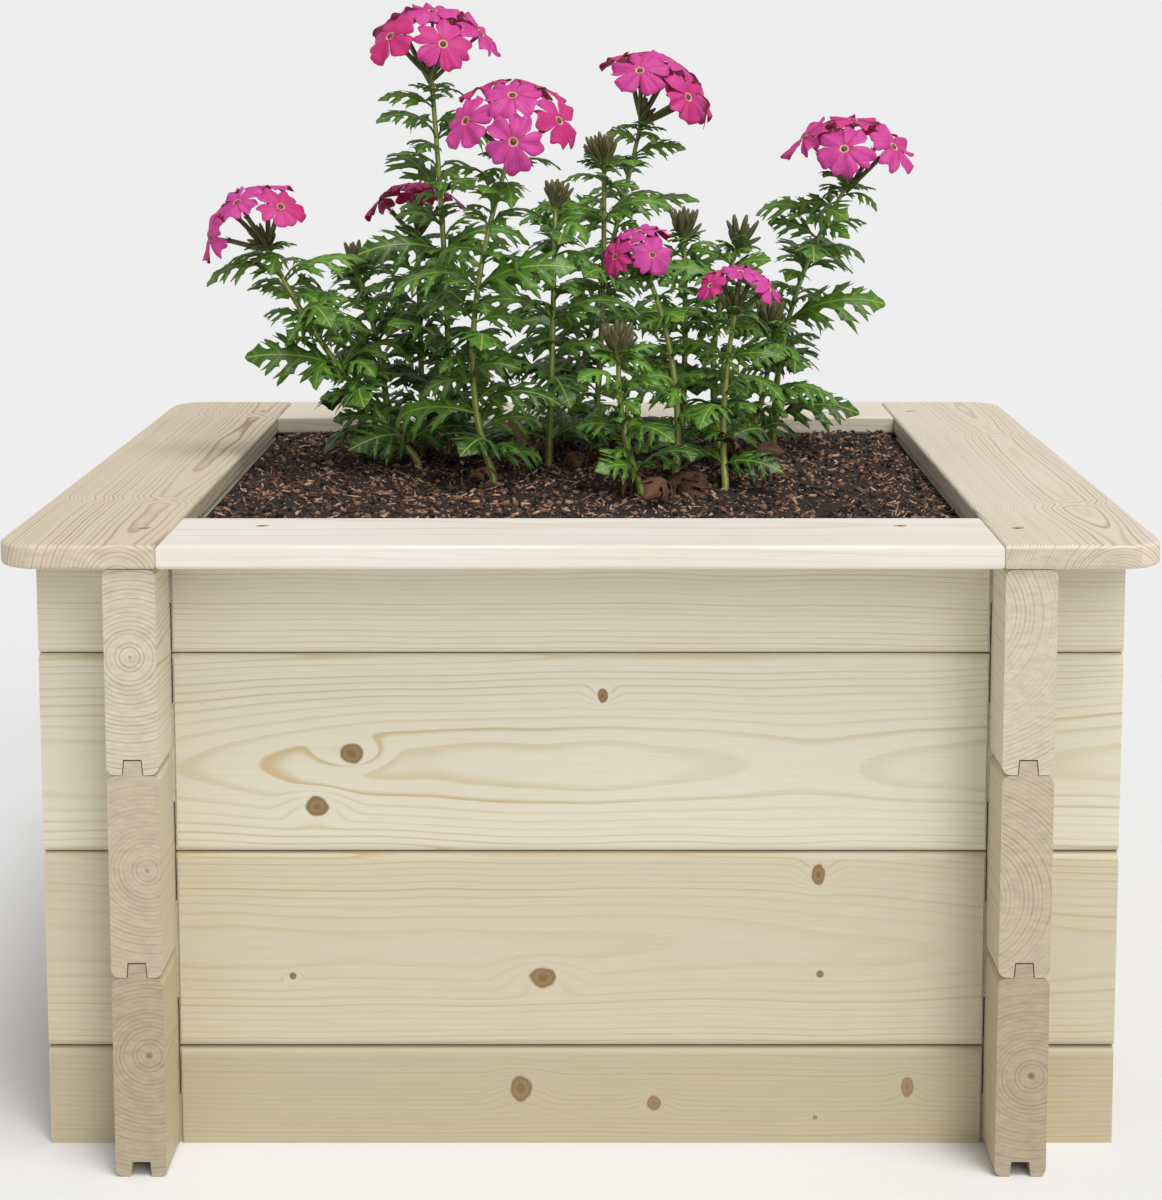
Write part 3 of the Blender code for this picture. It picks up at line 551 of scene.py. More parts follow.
# %% Place the wall boards
# For each board: the pith (through, up), its tilt in degrees (through, up), and its knots
WALL_FIGURE = {
    "front_board_1": ((0.030, 0.085), (0.4, 0.3),
                      (Knot(-0.034, 0.032, 0.0060, 0.0074), Knot(0.041, 0.0235, 0.0038, 0.0044, 0.9),
                       Knot(0.184, 0.0330, 0.0034, 0.0058, 0.8), Knot(0.132, 0.0150, 0.0014, 0.0014, 0.8))),
    "front_board_2": ((0.040, 0.058), (-0.5, 0.4),
                      (Knot(0.1325, 0.100, 0.0038, 0.0058), Knot(-0.0215, 0.0405, 0.0070, 0.0062),
                       Knot(-0.162, 0.0415, 0.0019, 0.0019), Knot(0.134, 0.0425, 0.0021, 0.0021))),
    "front_board_3": ((0.046, 0.050), (0.6, -0.3),
                      (Knot(-0.1275, 0.0565, 0.0064, 0.0054), Knot(-0.147, 0.0262, 0.0060, 0.0058),
                       Knot(0.012, 0.0892, 0.0028, 0.0040))),
    "front_board_4": ((0.034, -0.050), (0.4, 0.3), ()),
    "back_board_1": ((-0.030, 0.030), (0.5, -0.4), (Knot(0.090, 0.030, 0.0050, 0.0056),)),
    "back_board_2": ((-0.036, 0.060), (0.6, 0.4),
                     (Knot(-0.120, 0.070, 0.0060, 0.0054), Knot(0.150, 0.030, 0.003, 0.003))),
    "back_board_3": ((-0.044, 0.050), (-0.4, 0.3),
                     (Knot(0.040, 0.080, 0.0054, 0.0058), Knot(-0.200, 0.050, 0.004, 0.004))),
    "back_board_4": ((-0.030, 0.030), (0.6, 0.2), ()),
    "left_board_1": ((0.0062, 0.0697), (0.10, 0.1), (Knot(-0.100, 0.050, 0.0056, 0.0050),)),
    "left_board_2": ((0.0060, 0.0606), (-0.15, 0.1),
                     (Knot(0.060, 0.080, 0.0050, 0.0056), Knot(-0.180, 0.030, 0.004, 0.004))),
    "left_board_3": ((0.0005, 0.0640), (0.10, -0.2), (Knot(0.150, 0.050, 0.0056, 0.0056),)),
    "right_board_1": ((0.0054, 0.0589), (0.10, 0.2), (Knot(0.120, 0.066, 0.0056, 0.0052),)),
    "right_board_2": ((-0.034, 0.0440), (0.30, 0.1), (Knot(-0.060, 0.040, 0.0054, 0.0058),)),
    "right_board_3": ((-0.042, 0.0900), (-0.20, 0.2),
                      (Knot(0.030, 0.070, 0.0048, 0.0052), Knot(-0.140, 0.03, 0.003, 0.004))),
}
# From the lowest course up: the pale wood, and the sawn ends. The lower courses are painted darker, as
# painted shade for the light that falls off towards the floor.
COURSE_TONES_WITH_PAINTED_SHADE = (("#B9AE93", "#AC9D84"), ("#CBC1A8", "#BCAE95"),
                ("#DCD5C1", "#CCC0AB"), ("#DCD4C0", "#CEC2AD"))
for number, (name, (pith, tilt, knots)) in enumerate(WALL_FIGURE.items()):
    wall, _, course = name.split("_")
    course = int(course) - 1
    line = -WALL_LINE if wall in ("front", "left") else WALL_LINE
    if wall in ("front", "back"):
        shape = foot_board if course == 0 else head_board if course == 3 else full_board
        matrix = Matrix.Translation((0, line, 0.0 if course == 0 else (course - 0.5) * COVER))
    else:
        shape = crown_board if course == 2 else full_board
        # A turn of -90 degrees points a board's through-axis along X and its length along -Y
        matrix = Matrix.Translation((line, 0, course * COVER)) @ Matrix.Rotation(-math.pi / 2, 4, "Z")
    mesh = shape.copy()
    mesh.transform(matrix)
    # The course's colours carry painted shade: the lower a board sits, the darker it is painted.
    early, sawn = COURSE_TONES_WITH_PAINTED_SHADE[course]
    finish = spruce("planed_spruce_" + name, pith, tilt, knots, early, sawn=sawn, seed=number * 1.7)
    put(name + "_planed", mesh, finish, (name,))
print("wall boards:", len(WALL_FIGURE))

# %% [markdown]
# ## Rim boards
# The rim is four thin planed boards that hide the walls' top edges. The two side boards run from front to
# back and have their outer corners rounded, and the front and back ones fit between them. A flat outline is
# drawn, its outer corners are bevelled as points, it is extruded, and its top and bottom edges are eased.
# Cones are cut out for the screw heads.

# %% Rim board shape
RIM_LENGTH, RIM_DEPTH, RIM_THICK, RIM_WIDTH = 0.626, 0.606, 0.013, 0.087
RIM_TOP = 3 * COVER + RIM_THICK
CORNER_RADIUS, EASED = 0.025, 0.0022
SINK = {"radius1": 0.0021, "radius2": 0.0042, "depth": 0.0036}
SINK_LEVEL = -0.0013
SCREWS = [(x, y) for y in (-WALL_LINE, WALL_LINE) for x in (-0.177, 0.177)]
SCREWS += [(x, y) for x in (-WALL_LINE, WALL_LINE) for y in (-0.248, 0.248)]


def rim_shape(length, rounded, screws):
    """A rim board along X with its outer long edge towards -Y, its top at 0, and screws as places on it."""
    bm = bmesh.new()
    bmesh.ops.create_grid(bm, x_segments=1, y_segments=1, size=0.5)
    bmesh.ops.scale(bm, verts=bm.verts, vec=(length, RIM_WIDTH, 1))
    if rounded:
        outer = [vert for vert in bm.verts if vert.co.y < 0]
        bmesh.ops.bevel(bm, geom=outer, offset=CORNER_RADIUS, segments=14, profile=0.5, affect="VERTICES",
                        material=-1)
    add_layer(bm, (0, 0, -RIM_THICK))
    bmesh.ops.recalc_face_normals(bm, faces=bm.faces)
    around = [edge for edge in bm.edges if abs(edge.verts[0].co.z - edge.verts[1].co.z) < SAME]
    bmesh.ops.bevel(bm, geom=around, offset=EASED, segments=5, profile=0.5, affect="EDGES", material=-1)
    cones = []
    for x, y in screws:
        cone = bmesh.new()
        bmesh.ops.create_cone(cone, cap_ends=True, segments=32, **SINK)
        bmesh.ops.translate(cone, verts=cone.verts, vec=(x, y, SINK_LEVEL))
        cones.append(cone)
    return with_grain(boolean_cut(bm, (), "rim", cones))


print("the rim's top is at", round(RIM_TOP, 4))

# %% Place the rim boards
# For each board: the pith, its tilt and its knots as above, then the early and late wood and the ring width.
# The knots lie deep under the top face, as a buried whorl does, so that they only wave the rings above them.
WHORL = (-0.020, 0.004, 0.012)
RIM_FIGURE = {
    "rim_front": ((0.020, -0.060), (0.25, 0.3), (), "#E6DFD6", "#CDBD9A", 0.0034),
    "rim_back": ((-0.026, -0.050), (0.4, 0.2), (Knot(0.05, *WHORL),), "#DDD3C2", "#BBA578", 0.0026),
    "rim_left": ((0.025, -0.017), (0.4, 0.5), (Knot(0.155, *WHORL), Knot(-0.224, *WHORL)),
                 "#CFC0A8", "#83643A", 0.0024),
    "rim_right": ((-0.016, -0.022), (-0.5, -0.4), (Knot(-0.170, *WHORL), Knot(0.120, *WHORL)),
                  "#DACDBC", "#A08455", 0.0017),
}
RIM_TURNS = {"rim_front": 0, "rim_right": 90, "rim_back": 180, "rim_left": 270}
for number, (name, (pith, tilt, knots, early, late, ring_width)) in enumerate(RIM_FIGURE.items()):
    side = name in ("rim_left", "rim_right")
    out = (RIM_LENGTH if side else RIM_DEPTH) / 2 - RIM_WIDTH / 2
    rotation = Matrix.Rotation(math.radians(RIM_TURNS[name]), 4, "Z")
    matrix = Matrix.Translation((0, 0, RIM_TOP)) @ rotation @ Matrix.Translation((0, -out, 0))
    low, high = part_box(name)
    own = [matrix.inverted() @ Vector((x, y, RIM_TOP)) for x, y in SCREWS
           if low.x < x < high.x and low.y < y < high.y]
    length = RIM_DEPTH if side else RIM_LENGTH - 2 * RIM_WIDTH - 2 * FIT
    mesh = rim_shape(length, side, [(p.x, p.y) for p in own])
    mesh.transform(matrix)
    finish = spruce("planed_" + name, pith, tilt, knots, early, late, seed=40 + number * 2.3,
                    contrast=1.0 if side else 0.7, ring_width=ring_width)
    put(name + "_planed", mesh, finish, (name,))
    print(name, "screws:", len(own))

# %% [markdown]
# ## Screws
# The rim is held by small countersunk screws with a star-shaped socket. Rings of points are joined by
# bridges: the socket's floor, its wall, the flat of the head, the cone under it and the shank.
# Yellow-zinc steel is a metal with a warm tint, a little dull from its plating.

# %% Zinc-plated steel
zinc, tree = new_material("yellow_zinc_plated_steel", Metallic=1.0, Roughness=0.38)
spots = node(tree, "TexNoise", Vector=node(tree, "TexCoord").outputs["Object"], Scale=900.0, Detail=3.0)
paint(tree, node(tree, "Mix", spots, linear("#B9A472"), linear("#E2D6AE")))
rough = node(tree, "MapRange", spots, 0.0, 1.0, 0.28, 0.55)
tree.links.new(rough.outputs[0], tree.nodes["Principled BSDF"].inputs["Roughness"])
print("nodes in the zinc:", len(tree.nodes))


# %% Screws
def ringed(rings, sides):
    """A closed shape through rings, each given as its height and its radius at each of its points."""
    bm = bmesh.new()
    loops = []
    for height, radii in rings:
        made = bmesh.ops.create_circle(bm, segments=sides, radius=1.0)["verts"]
        for i, vert in enumerate(made):
            reach = radii[i % len(radii)]
            vert.co = (vert.co.x * reach, vert.co.y * reach, height)
        loops.append({edge for vert in made for edge in vert.link_edges})
    for first, second in zip(loops, loops[1:]):
        bmesh.ops.bridge_loops(bm, edges=list(first | second))
    for loop in (loops[0], loops[-1]):
        bmesh.ops.contextual_create(bm, geom=list(loop))
    bmesh.ops.recalc_face_normals(bm, faces=bm.faces)
    return bm


STAR = [0.0017 + 0.00028 * math.cos(math.radians(90 * i)) for i in range(4)]
SCREW_RINGS = [(-0.0016, STAR), (-0.0004, STAR), (-0.0003, [0.0035]), (-0.0006, [0.0037]),
               (-0.0028, [0.0019]), (-0.0400, [0.0019])]
SCREW_SIDES, SHARP_ANGLE = 24, math.radians(35)
screw_points, screw_corners = shape_of(ringed(SCREW_RINGS, SCREW_SIDES))
for number, (x, y) in enumerate(SCREWS, 1):
    pile = Pile()
    pile.add(screw_points + (x, y, RIM_TOP), screw_corners, (0, 0, 0))
    mesh = pile.mesh()
    mesh.set_sharp_from_angle(angle=SHARP_ANGLE)
    put(f"rim_screw_{number}_plated", mesh, zinc, (f"rim_screw_{number}",))
print("screws:", len(SCREWS))

# %% [markdown]
# ## Potting soil
# Peaty compost is a heap of dark crumbs with bark chips and pale fibres. From a step away the single crumbs
# show, so a paint alone would look flat. The ground is a fine grid pushed up and down by noise, closed down
# to the bottom of the walls. Then thousands of crumbs with few faces are scattered on it, sunk by about a
# third.

# %% Soil sheet
SOIL_HALF, SOIL_EDGE, SOIL_LEVEL, SOIL_FOOT = 0.2267, 0.3360, 0.3398, 0.0002
CELLS = 150
# For each noise: how many waves in a metre, its place in the noise, and its height
SOIL_WAVES = ((38, 0.3, 0.0016), (150, 4, 0.0012), (480, 9, 0.0012))


def soil_height(x, y):
    """The height of the soil's surface: low along the walls, with soft lumps and finer crumbs."""
    near_wall = min(1.0, (SOIL_HALF - max(abs(x), abs(y))) / 0.012)
    broad, small, fine = (noise.noise(Vector((x * waves, y * waves, layer))) * height
                          for waves, layer, height in SOIL_WAVES)
    return SOIL_EDGE + (SOIL_LEVEL - SOIL_EDGE + broad + small + abs(fine)) * near_wall


bm = bmesh.new()
bmesh.ops.create_grid(bm, x_segments=CELLS, y_segments=CELLS, size=SOIL_HALF)
moved = add_layer(bm, (0, 0, SOIL_FOOT))
bmesh.ops.dissolve_faces(bm, faces=[g for g in moved if isinstance(g, bmesh.types.BMFace)], use_verts=False)
for vert in bm.verts:
    if vert.co.z < SOIL_FOOT / 2:
        vert.co.z = soil_height(vert.co.x, vert.co.y)
bmesh.ops.recalc_face_normals(bm, faces=bm.faces)
soil_mesh = mesh_of(bm, "soil")
soil_mesh.shade_smooth()

compost, tree = new_material("moist_peat_compost", Roughness=0.92)
place = node(tree, "TexCoord").outputs["Object"]
crumb = node(tree, "TexVoronoi", Vector=place, Scale=420.0)
grit = node(tree, "TexNoise", Vector=place, Scale=700.0, Detail=4.0)
dark = node(tree, "Mix", crumb.outputs["Distance"], linear("#0D0704"), linear("#241711"))
paint(tree, node(tree, "Mix", grit, dark, linear("#2F2016")), grit, 0.9, 0.0012)
put("soil_bed", soil_mesh, compost, ("soil",))
print("soil faces:", len(soil_mesh.polygons))

# %% [markdown]
# ## Crumbs, bark chips and fibres
# One crumb is a ball of twenty faces, squashed and dented. A bark chip is a splinter: a box with its corners
# moved, and a fibre is a long thin one. Copies are turned, scaled and scattered by a seeded draw, so the bed
# looks the same each time. Two random numbers on each copy pick its colour in the material: most crumbs are
# near black and some are brown, and a few crumbs and chips are reddish or pale.

# %% Shapes of crumbs and chips
def dented(bm, seed, least, most):
    """A small shape whose corners are moved in or out by a seeded draw."""
    dents = random.Random(seed)
    for vert in bm.verts:
        vert.co *= dents.uniform(least, most)
    return shape_of(bm)


def crumb_shape(seed):
    bm = bmesh.new()
    bmesh.ops.create_icosphere(bm, subdivisions=1, radius=1.0)
    return dented(bm, seed, 0.65, 1.15)


def splinter_shape(seed):
    bm = bmesh.new()
    bmesh.ops.create_cube(bm, size=2.0)
    return dented(bm, seed, 0.6, 1.1)


crumb_shapes = [crumb_shape(seed) for seed in range(5)]
splinters = [splinter_shape(seed) for seed in range(6)]
print("triangles in a crumb:", len(crumb_shapes[0][1]), "and in a splinter:", len(splinters[0][1]))

# %% Scatter them
CRUMBS, CHIPS, FIBRES = 8800, 4600, 560
SPREAD = 0.985 * SOIL_HALF
FULL_TURN = 6.28
soil_draw = random.Random(5)


def scatter(pile, shapes, count, sizes, squash, lift):
    """Lays copies of shapes on the soil, each turned and scaled by the draw. Most of them are small."""
    for _ in range(count):
        x, y = soil_draw.uniform(-SPREAD, SPREAD), soil_draw.uniform(-SPREAD, SPREAD)
        size = sizes[0] + (sizes[1] - sizes[0]) * soil_draw.random() ** 2.5
        points, corners = shapes[soil_draw.randrange(len(shapes))]
        stretch = np.array([size, size * soil_draw.uniform(*squash), size * soil_draw.uniform(*squash)])
        turn = Matrix.Rotation(soil_draw.uniform(0, FULL_TURN), 3, "Z")
        turn = turn @ Matrix.Rotation(soil_draw.uniform(-0.6, 0.6), 3, "Y")
        turn = turn @ Matrix.Rotation(soil_draw.uniform(0, FULL_TURN), 3, "X")
        laid = points * stretch @ np.array(turn).T
        marks = (soil_draw.random(), soil_draw.random(), 0)
        pile.add(laid + (x, y, soil_height(x, y) + size * lift), corners, marks)


crumbs, chips = Pile(), Pile()
scatter(crumbs, crumb_shapes, CRUMBS, (0.0006, 0.0029), (0.50, 1.0), 0.25)
scatter(chips, splinters, CHIPS, (0.0009, 0.0033), (0.14, 0.36), 0.35)
scatter(chips, splinters, FIBRES, (0.0030, 0.0085), (0.035, 0.06), 0.12)
print("crumb triangles:", crumbs.triangles(), "chip triangles:", chips.triangles())

# %% Peat and bark
peat, tree = new_material("peat_crumbs", Roughness=0.9)
tone, redness, _ = marks_of(tree)
light = node(tree, "MapRange", tone, 0.36, 0.98, interpolation_type="SMOOTHSTEP")
colour = node(tree, "Mix", light, linear("#0F0906"), linear("#97725A"))
red = node(tree, "MapRange", redness, 0.72, 1.0, 0.0, 0.7)
grain = node(tree, "TexNoise", Vector=node(tree, "TexCoord").outputs["Object"], Scale=1600.0)
paint(tree, node(tree, "Mix", red, colour, linear("#5A3424")), grain, 0.8, 0.0005)
put("soil_crumbs", crumbs.mesh(), peat)

bark, tree = new_material("bark_and_wood_fibre", Roughness=0.85)
tone, redness, _ = marks_of(tree)
pale = node(tree, "MapRange", tone, 0.25, 1.0, interpolation_type="SMOOTHSTEP")
colour = node(tree, "Mix", pale, linear("#583B2C"), linear("#CCA78D"))
ruddy = node(tree, "MapRange", redness, 0.5, 1.0, 0.0, 0.5)
paint(tree, node(tree, "Mix", ruddy, colour, linear("#6E3F28")))
put("soil_chips", chips.mesh(), bark)
print("nodes in the peat:", len(peat.node_tree.nodes), "and in the bark:", len(bark.node_tree.nodes))

# %% [markdown]
# ## Where the plants grow
# The CAD model grew its stems and leaves by rule: a curve for each stem, and pairs of leaves that turn by a
# quarter from pair to pair, with a seeded draw for their angles. The same rule and the same draw run here, so
# the finer leaves land on the CAD ones. Where a leaf had met another, the CAD rule turned it further: each
# stem's row of digits says which turn it took, and a dash is a leaf left out.

# %% Stems
Stem = namedtuple("Stem", "name base middle tip facing leaf pairs florets head turn moves")
STEMS = (
    Stem("left_low", (-0.111, 0.050), (-0.167, 0.030, 0.418), (-0.205, 0.010, 0.491),
         (-0.55, -0.65, 1), 0.074, 5, 5, 0.80, 20, "2330000000"),
    Stem("left_front", (-0.058, -0.014), (-0.070, -0.025, 0.437), (-0.045, -0.036, 0.554),
         (0.05, -0.75, 1), 0.074, 5, 6, 0.90, 270, "0000000000"),
    Stem("left_tall", (-0.092, 0.076), (-0.091, 0.040, 0.457), (-0.100, 0.045, 0.599),
         (0.05, -0.30, 1), 0.070, 7, 6, 0.94, 205, "25050700000000"),
    Stem("left_back", (-0.112, 0.105), (-0.112, 0.095, 0.420), (-0.114, 0.100, 0.492),
         (-0.10, -0.10, 1), 0.066, 4, 4, 0.74, 60, "18000030"),
    Stem("middle_tall", (-0.015, 0.167), (0.011, 0.160, 0.449), (0.040, 0.150, 0.570),
         (0.55, -0.15, 1), 0.070, 6, 6, 0.96, 15, "350000000000"),
    Stem("right_tall", (0.133, 0.148), (0.144, 0.125, 0.442), (0.180, 0.110, 0.526),
         (0.05, -0.20, 1), 0.076, 5, 6, 0.95, 170, "0000000006"),
    Stem("right_front", (0.090, -0.041), (0.090, -0.020, 0.393), (0.096, -0.030, 0.452),
         (0.10, -0.35, 1), 0.054, 3, 5, 0.58, 330, "020000"),
    Stem("middle_low", (0.058, -0.041), (0.058, -0.010, 0.409), (0.041, -0.010, 0.474),
         (-0.20, -0.35, 1), 0.056, 3, 5, 0.63, 100, "000000"),
    Stem("front_bud", (0.036, -0.067), (0.025, -0.060, 0.384), (0.022, -0.065, 0.429),
         (-0.05, 0, 1), 0.054, 3, 0, 1.0, 40, "600000"),
    Stem("right_bud", (0.109, 0.094), (0.123, 0.090, 0.390), (0.125, 0.090, 0.430),
         (0.05, 0, 1), 0.058, 3, 0, 1.0, 75, "400000"),
    Stem("high_bud", (0.066, 0.098), (0.068, 0.080, 0.420), (0.067, 0.080, 0.492),
         (0, 0, 1), 0.060, 4, 0, 1.0, 10, "00000000"),
    Stem("side_bud", (0.092, 0.045), (0.086, 0.040, 0.422), (0.102, 0.040, 0.489),
         (0.25, 0, 1), 0.062, 4, 0, 1.0, 55, "00001201"),
    Stem("left_bud", (-0.132, 0.085), (-0.138, 0.070, 0.413), (-0.152, 0.070, 0.470),
         (0.05, 0, 1), 0.066, 4, 0, 1.0, 30, "-08-2500"),
    Stem("middle_bud", (0.006, 0.100), (0.012, 0.095, 0.442), (0.013, 0.085, 0.542),
         (-0.15, 0, 1), 0.068, 4, 0, 1.0, 80, "00020300"),
    Stem("middle_leafy", (-0.024, 0.060), (-0.021, 0.040, 0.428), (-0.019, 0.045, 0.516),
         (0.10, -0.10, 1), 0.072, 4, 0, 0.8, 15, "02200000"),
)
print("stems:", len(STEMS), "and in bloom:", sum(1 for stem in STEMS if stem.florets))

# %% The CAD model's rule
BEND_LEVEL, SAMPLES = 0.345, 30
PETALS, PETAL_HALF_ANGLE = 5, math.radians(25)
FLORET_REACH, FLORET_RADIUS, CALYX_SHARE = 0.048, 0.0222, 0.68
FLORET_LEAN, BUD_LEAN, BUDS, BUD_LENGTH = 45, 27, 7, 0.021
FIRST_PAIR, LEAFY_SHARE = 0.30, 0.96
LEAF_MOVES = ((0, 0), (14, 0), (-14, 0), (28, 8), (-28, 8), (44, 14), (-44, 14), (0, 26), (60, 22), (-60, 22))
Leaf = namedtuple("Leaf", "place length pitch bend age")


def stem_path(stem):
    """Points on the smooth curve through the stem's base, middle and tip."""
    base, middle, tip = Vector((*stem.base, BEND_LEVEL)), Vector(stem.middle), Vector(stem.tip)
    shares = [i / SAMPLES for i in range(SAMPLES + 1)]
    return [base * (1 - t) * (1 - 2 * t) + middle * 4 * t * (1 - t) + tip * t * (2 * t - 1) for t in shares]


def tip_seat(stem):
    """The place at the stem's tip, turned so that Z points the way that its head faces."""
    return Matrix.Translation(stem.tip) @ Vector(stem.facing).to_track_quat("Z", "Y").to_matrix().to_4x4()


def head_places(stem):
    """Where each floret or bud starts and how it is turned: one in the middle, the rest in a ring."""
    seat = tip_seat(stem)
    places = [seat @ Matrix.Rotation(math.radians(stem.turn) - PETAL_HALF_ANGLE, 4, "Z")]
    step = 360 / PETALS if stem.florets else 360 / (BUDS - 1)
    for i in range((stem.florets or BUDS) - 1):
        around = math.radians(stem.turn + step * i)
        lean = math.radians(FLORET_LEAN if stem.florets else BUD_LEAN)
        turned = Matrix.Rotation(around, 4, "Z") @ Matrix.Rotation(lean, 4, "Y")
        places.append(seat @ turned @ Matrix.Rotation(math.pi - PETAL_HALF_ANGLE, 4, "Z"))
    return places


def new_leaf(origin, heading, roll, length, pitch, bend, age):
    turn = Matrix.Rotation(math.radians(heading), 4, "Z") @ Matrix.Rotation(math.radians(roll), 4, "X")
    return Leaf(Matrix.Translation(origin) @ turn, length, math.radians(pitch), math.radians(bend), age)


def ruled_leaves():
    """Every stem's leaves, by the same rule and draw as in the CAD model."""
    draw = random.Random(11)
    leaves = {}
    for stem in STEMS:
        path, moves = stem_path(stem), iter(stem.moves)
        leaves[stem.name] = []
        for pair in range(stem.pairs):
            share = (pair + FIRST_PAIR) / stem.pairs * LEAFY_SHARE
            size = stem.leaf * (0.80 + 0.95 * share - 1.20 * share * share)
            for side in (0, 1):
                heading = stem.turn + 90 * pair + 180 * side + draw.uniform(-18, 18)
                roll = 34 * math.cos(math.radians(heading)) + draw.uniform(-22, 22)
                pitch = 46 + 14 * share + draw.uniform(-12, 12)
                bend = 92 + draw.uniform(-18, 24)
                length = size * draw.uniform(0.92, 1.08)
                move = next(moves)
                if move != "-":
                    turn, lift = LEAF_MOVES[int(move)]
                    origin = path[round(share * SAMPLES)]
                    leaf = new_leaf(origin, heading + turn, roll, length, pitch + lift, bend, share)
                    leaves[stem.name].append(leaf)
    return leaves


leaves = ruled_leaves()
print("leaves on the CAD stems:", sum(len(found) for found in leaves.values()))

# %% [markdown]
# ## A cut leaf
# A verbena leaf is cut almost to its midrib into lobes, and each lobe has a few pointed teeth. Its outline is
# drawn flat, with a length of one. The lobes sweep forward, so the outline is drawn on a slanted grid: how
# far along the midrib a point's side vein starts, and how far out it lies. The face is sliced by planes so
# that it can bend, and is given two layers. Copies are then arched along a circle, each with its own bend.
# The small leaves between the CAD ones grow by the hundred, so their outline is plainer, with fewer slices.

# %% Leaf outlines
SWEEP, DROOP = 0.84, 1.1
BLADE_EDGE, BLADE_RIB = 0.00038, 0.0011
# For each lobe: where its middle vein starts, how far out it reaches, and where it ends
LARGE_LOBES = ((0.25, 0.26, 0.36), (0.46, 0.30, 0.56), (0.65, 0.20, 0.74))
SMALL_LOBES = ((0.31, 0.28, 0.47), (0.58, 0.23, 0.70))
LOBE_EDGE = ((-0.52, 0.32), (-0.62, 0.48), (-0.92, 0.66), (-0.52, 0.66), (-0.36, 0.84), (-0.04, 1.0),
             (0.20, 0.84), (0.30, 0.68), (0.78, 0.78), (0.58, 0.54), (0.50, 0.32))
PLAIN_LOBE_EDGE = ((-0.62, 0.46), (-0.92, 0.66), (-0.40, 0.78), (-0.04, 1.0), (0.26, 0.72), (0.78, 0.78),
                   (0.50, 0.32))
STALK_EDGE = ((-0.03, 0.010), (0.09, 0.016), (0.17, 0.030))
TIP_EDGE = ((0.06, 0.080), (0.02, 0.135), (0.26, 0.100), (0.46, 0.074), (0.74, 0.044))
FIRST_LOBE, GAP_WIDTH = 0.16, 0.056


def leaf_edge(lobes, seed, lobe_edge):
    """One side of the outline on the slanted grid, and how the veins' numbers rise along the midrib."""
    jitter = random.Random(seed)
    slim = jitter.uniform(0.82, 1.04)
    edge, before = list(STALK_EDGE), FIRST_LOBE
    stations = [(-0.1, 0.4), (before, 0.5)]
    for i, (along, reach, end) in enumerate(lobes):
        half = (end - before) / 2
        for across, out in lobe_edge:
            edge.append((along + across * half * slim * jitter.uniform(0.88, 1.10),
                         reach * out * jitter.uniform(0.96, 1.03)))
        edge.append((end, GAP_WIDTH * jitter.uniform(0.8, 1.3)))
        stations += [(along, i + 1.0), (end, i + 1.5)]
        before = end
    edge += [(before + (1 - before) * along, out) for along, out in TIP_EDGE]
    return edge, stations + [(1.1, len(lobes) + 1.9)]


def leaf_shape(lobes, seed, lobe_edge=LOBE_EDGE, slices=11, lines=(0.018, 0.075, 0.15)):
    """A flat leaf of length one: points (along, across, layer), its triangles, and how its veins run."""
    edge, stations = leaf_edge(lobes, seed, lobe_edge)
    ring = [(a + SWEEP * r, r) for a, r in edge] + [(1.0, 0.0)] + [(a + SWEEP * r, -r) for a, r in edge[::-1]]
    bm = bmesh.new()
    bm.faces.new([bm.verts.new((x, y, 0)) for x, y in ring])
    bmesh.ops.triangulate(bm, faces=bm.faces[:])
    cuts = [((x, 0, 0), (1, 0, 0)) for x in np.linspace(0.06, 0.94, slices)]
    cuts += [((0, y, 0), (0, 1, 0)) for line in (0.0, *lines) for y in (-line, line)]
    for place, normal in cuts:
        everything = bm.verts[:] + bm.edges[:] + bm.faces[:]
        bmesh.ops.bisect_plane(bm, geom=everything, plane_co=place, plane_no=normal, dist=1e-5)
    bmesh.ops.remove_doubles(bm, verts=bm.verts, dist=0.002)
    add_layer(bm, (0, 0, 1))
    bmesh.ops.recalc_face_normals(bm, faces=bm.faces)
    return (*shape_of(bm), stations)


large_leaves = [leaf_shape(LARGE_LOBES, seed) for seed in (1, 2, 3, 4)]
small_leaves = [leaf_shape(SMALL_LOBES, seed) for seed in (5, 6, 7)]
axil_shapes = [leaf_shape(lobes, seed, PLAIN_LOBE_EDGE, slices=5, lines=())
               for lobes in (LARGE_LOBES, SMALL_LOBES) for seed in (8, 9)]
print("triangles in a leaf:", [len(shape[1]) for shape in large_leaves + small_leaves + axil_shapes])

# %% Bend a leaf
QUILT, CHANNEL = 0.011, 0.014


def add_leaf(pile, leaf, shape, tint, curl=1.0):
    """Arches a flat leaf along a circle, droops its lobes, quilts it between its veins, and adds it."""
    points, corners, stations = shape
    along, across, layer = points.T
    reach = np.abs(across)
    pitch = leaf.pitch - leaf.bend * along
    radius = leaf.length / leaf.bend
    x = radius * (math.sin(leaf.pitch) - np.sin(pitch))
    z = radius * (np.cos(pitch) - math.cos(leaf.pitch))
    vein = np.interp(along - SWEEP * reach, *zip(*stations))
    quilt = QUILT * np.cos(vein * 2 * math.pi) * np.clip(reach / 0.10, 0, 1)
    channel = CHANNEL * (1 - np.exp(-(reach / 0.03) ** 2))
    thickness = BLADE_EDGE + (BLADE_RIB - BLADE_EDGE) * np.exp(-(across / 0.022) ** 2)
    off = (layer - 0.5) * thickness + (channel - quilt - curl * DROOP * reach * reach) * leaf.length
    local = np.stack([x - off * np.sin(pitch), across * leaf.length, z + off * np.cos(pitch)], axis=1)
    matrix = np.array(leaf.place)
    marks = np.stack([vein, reach, np.full(len(vein), tint)], axis=1)
    pile.add(local @ matrix[:3, :3].T + matrix[:3, 3], corners, marks, 1.0 - layer)


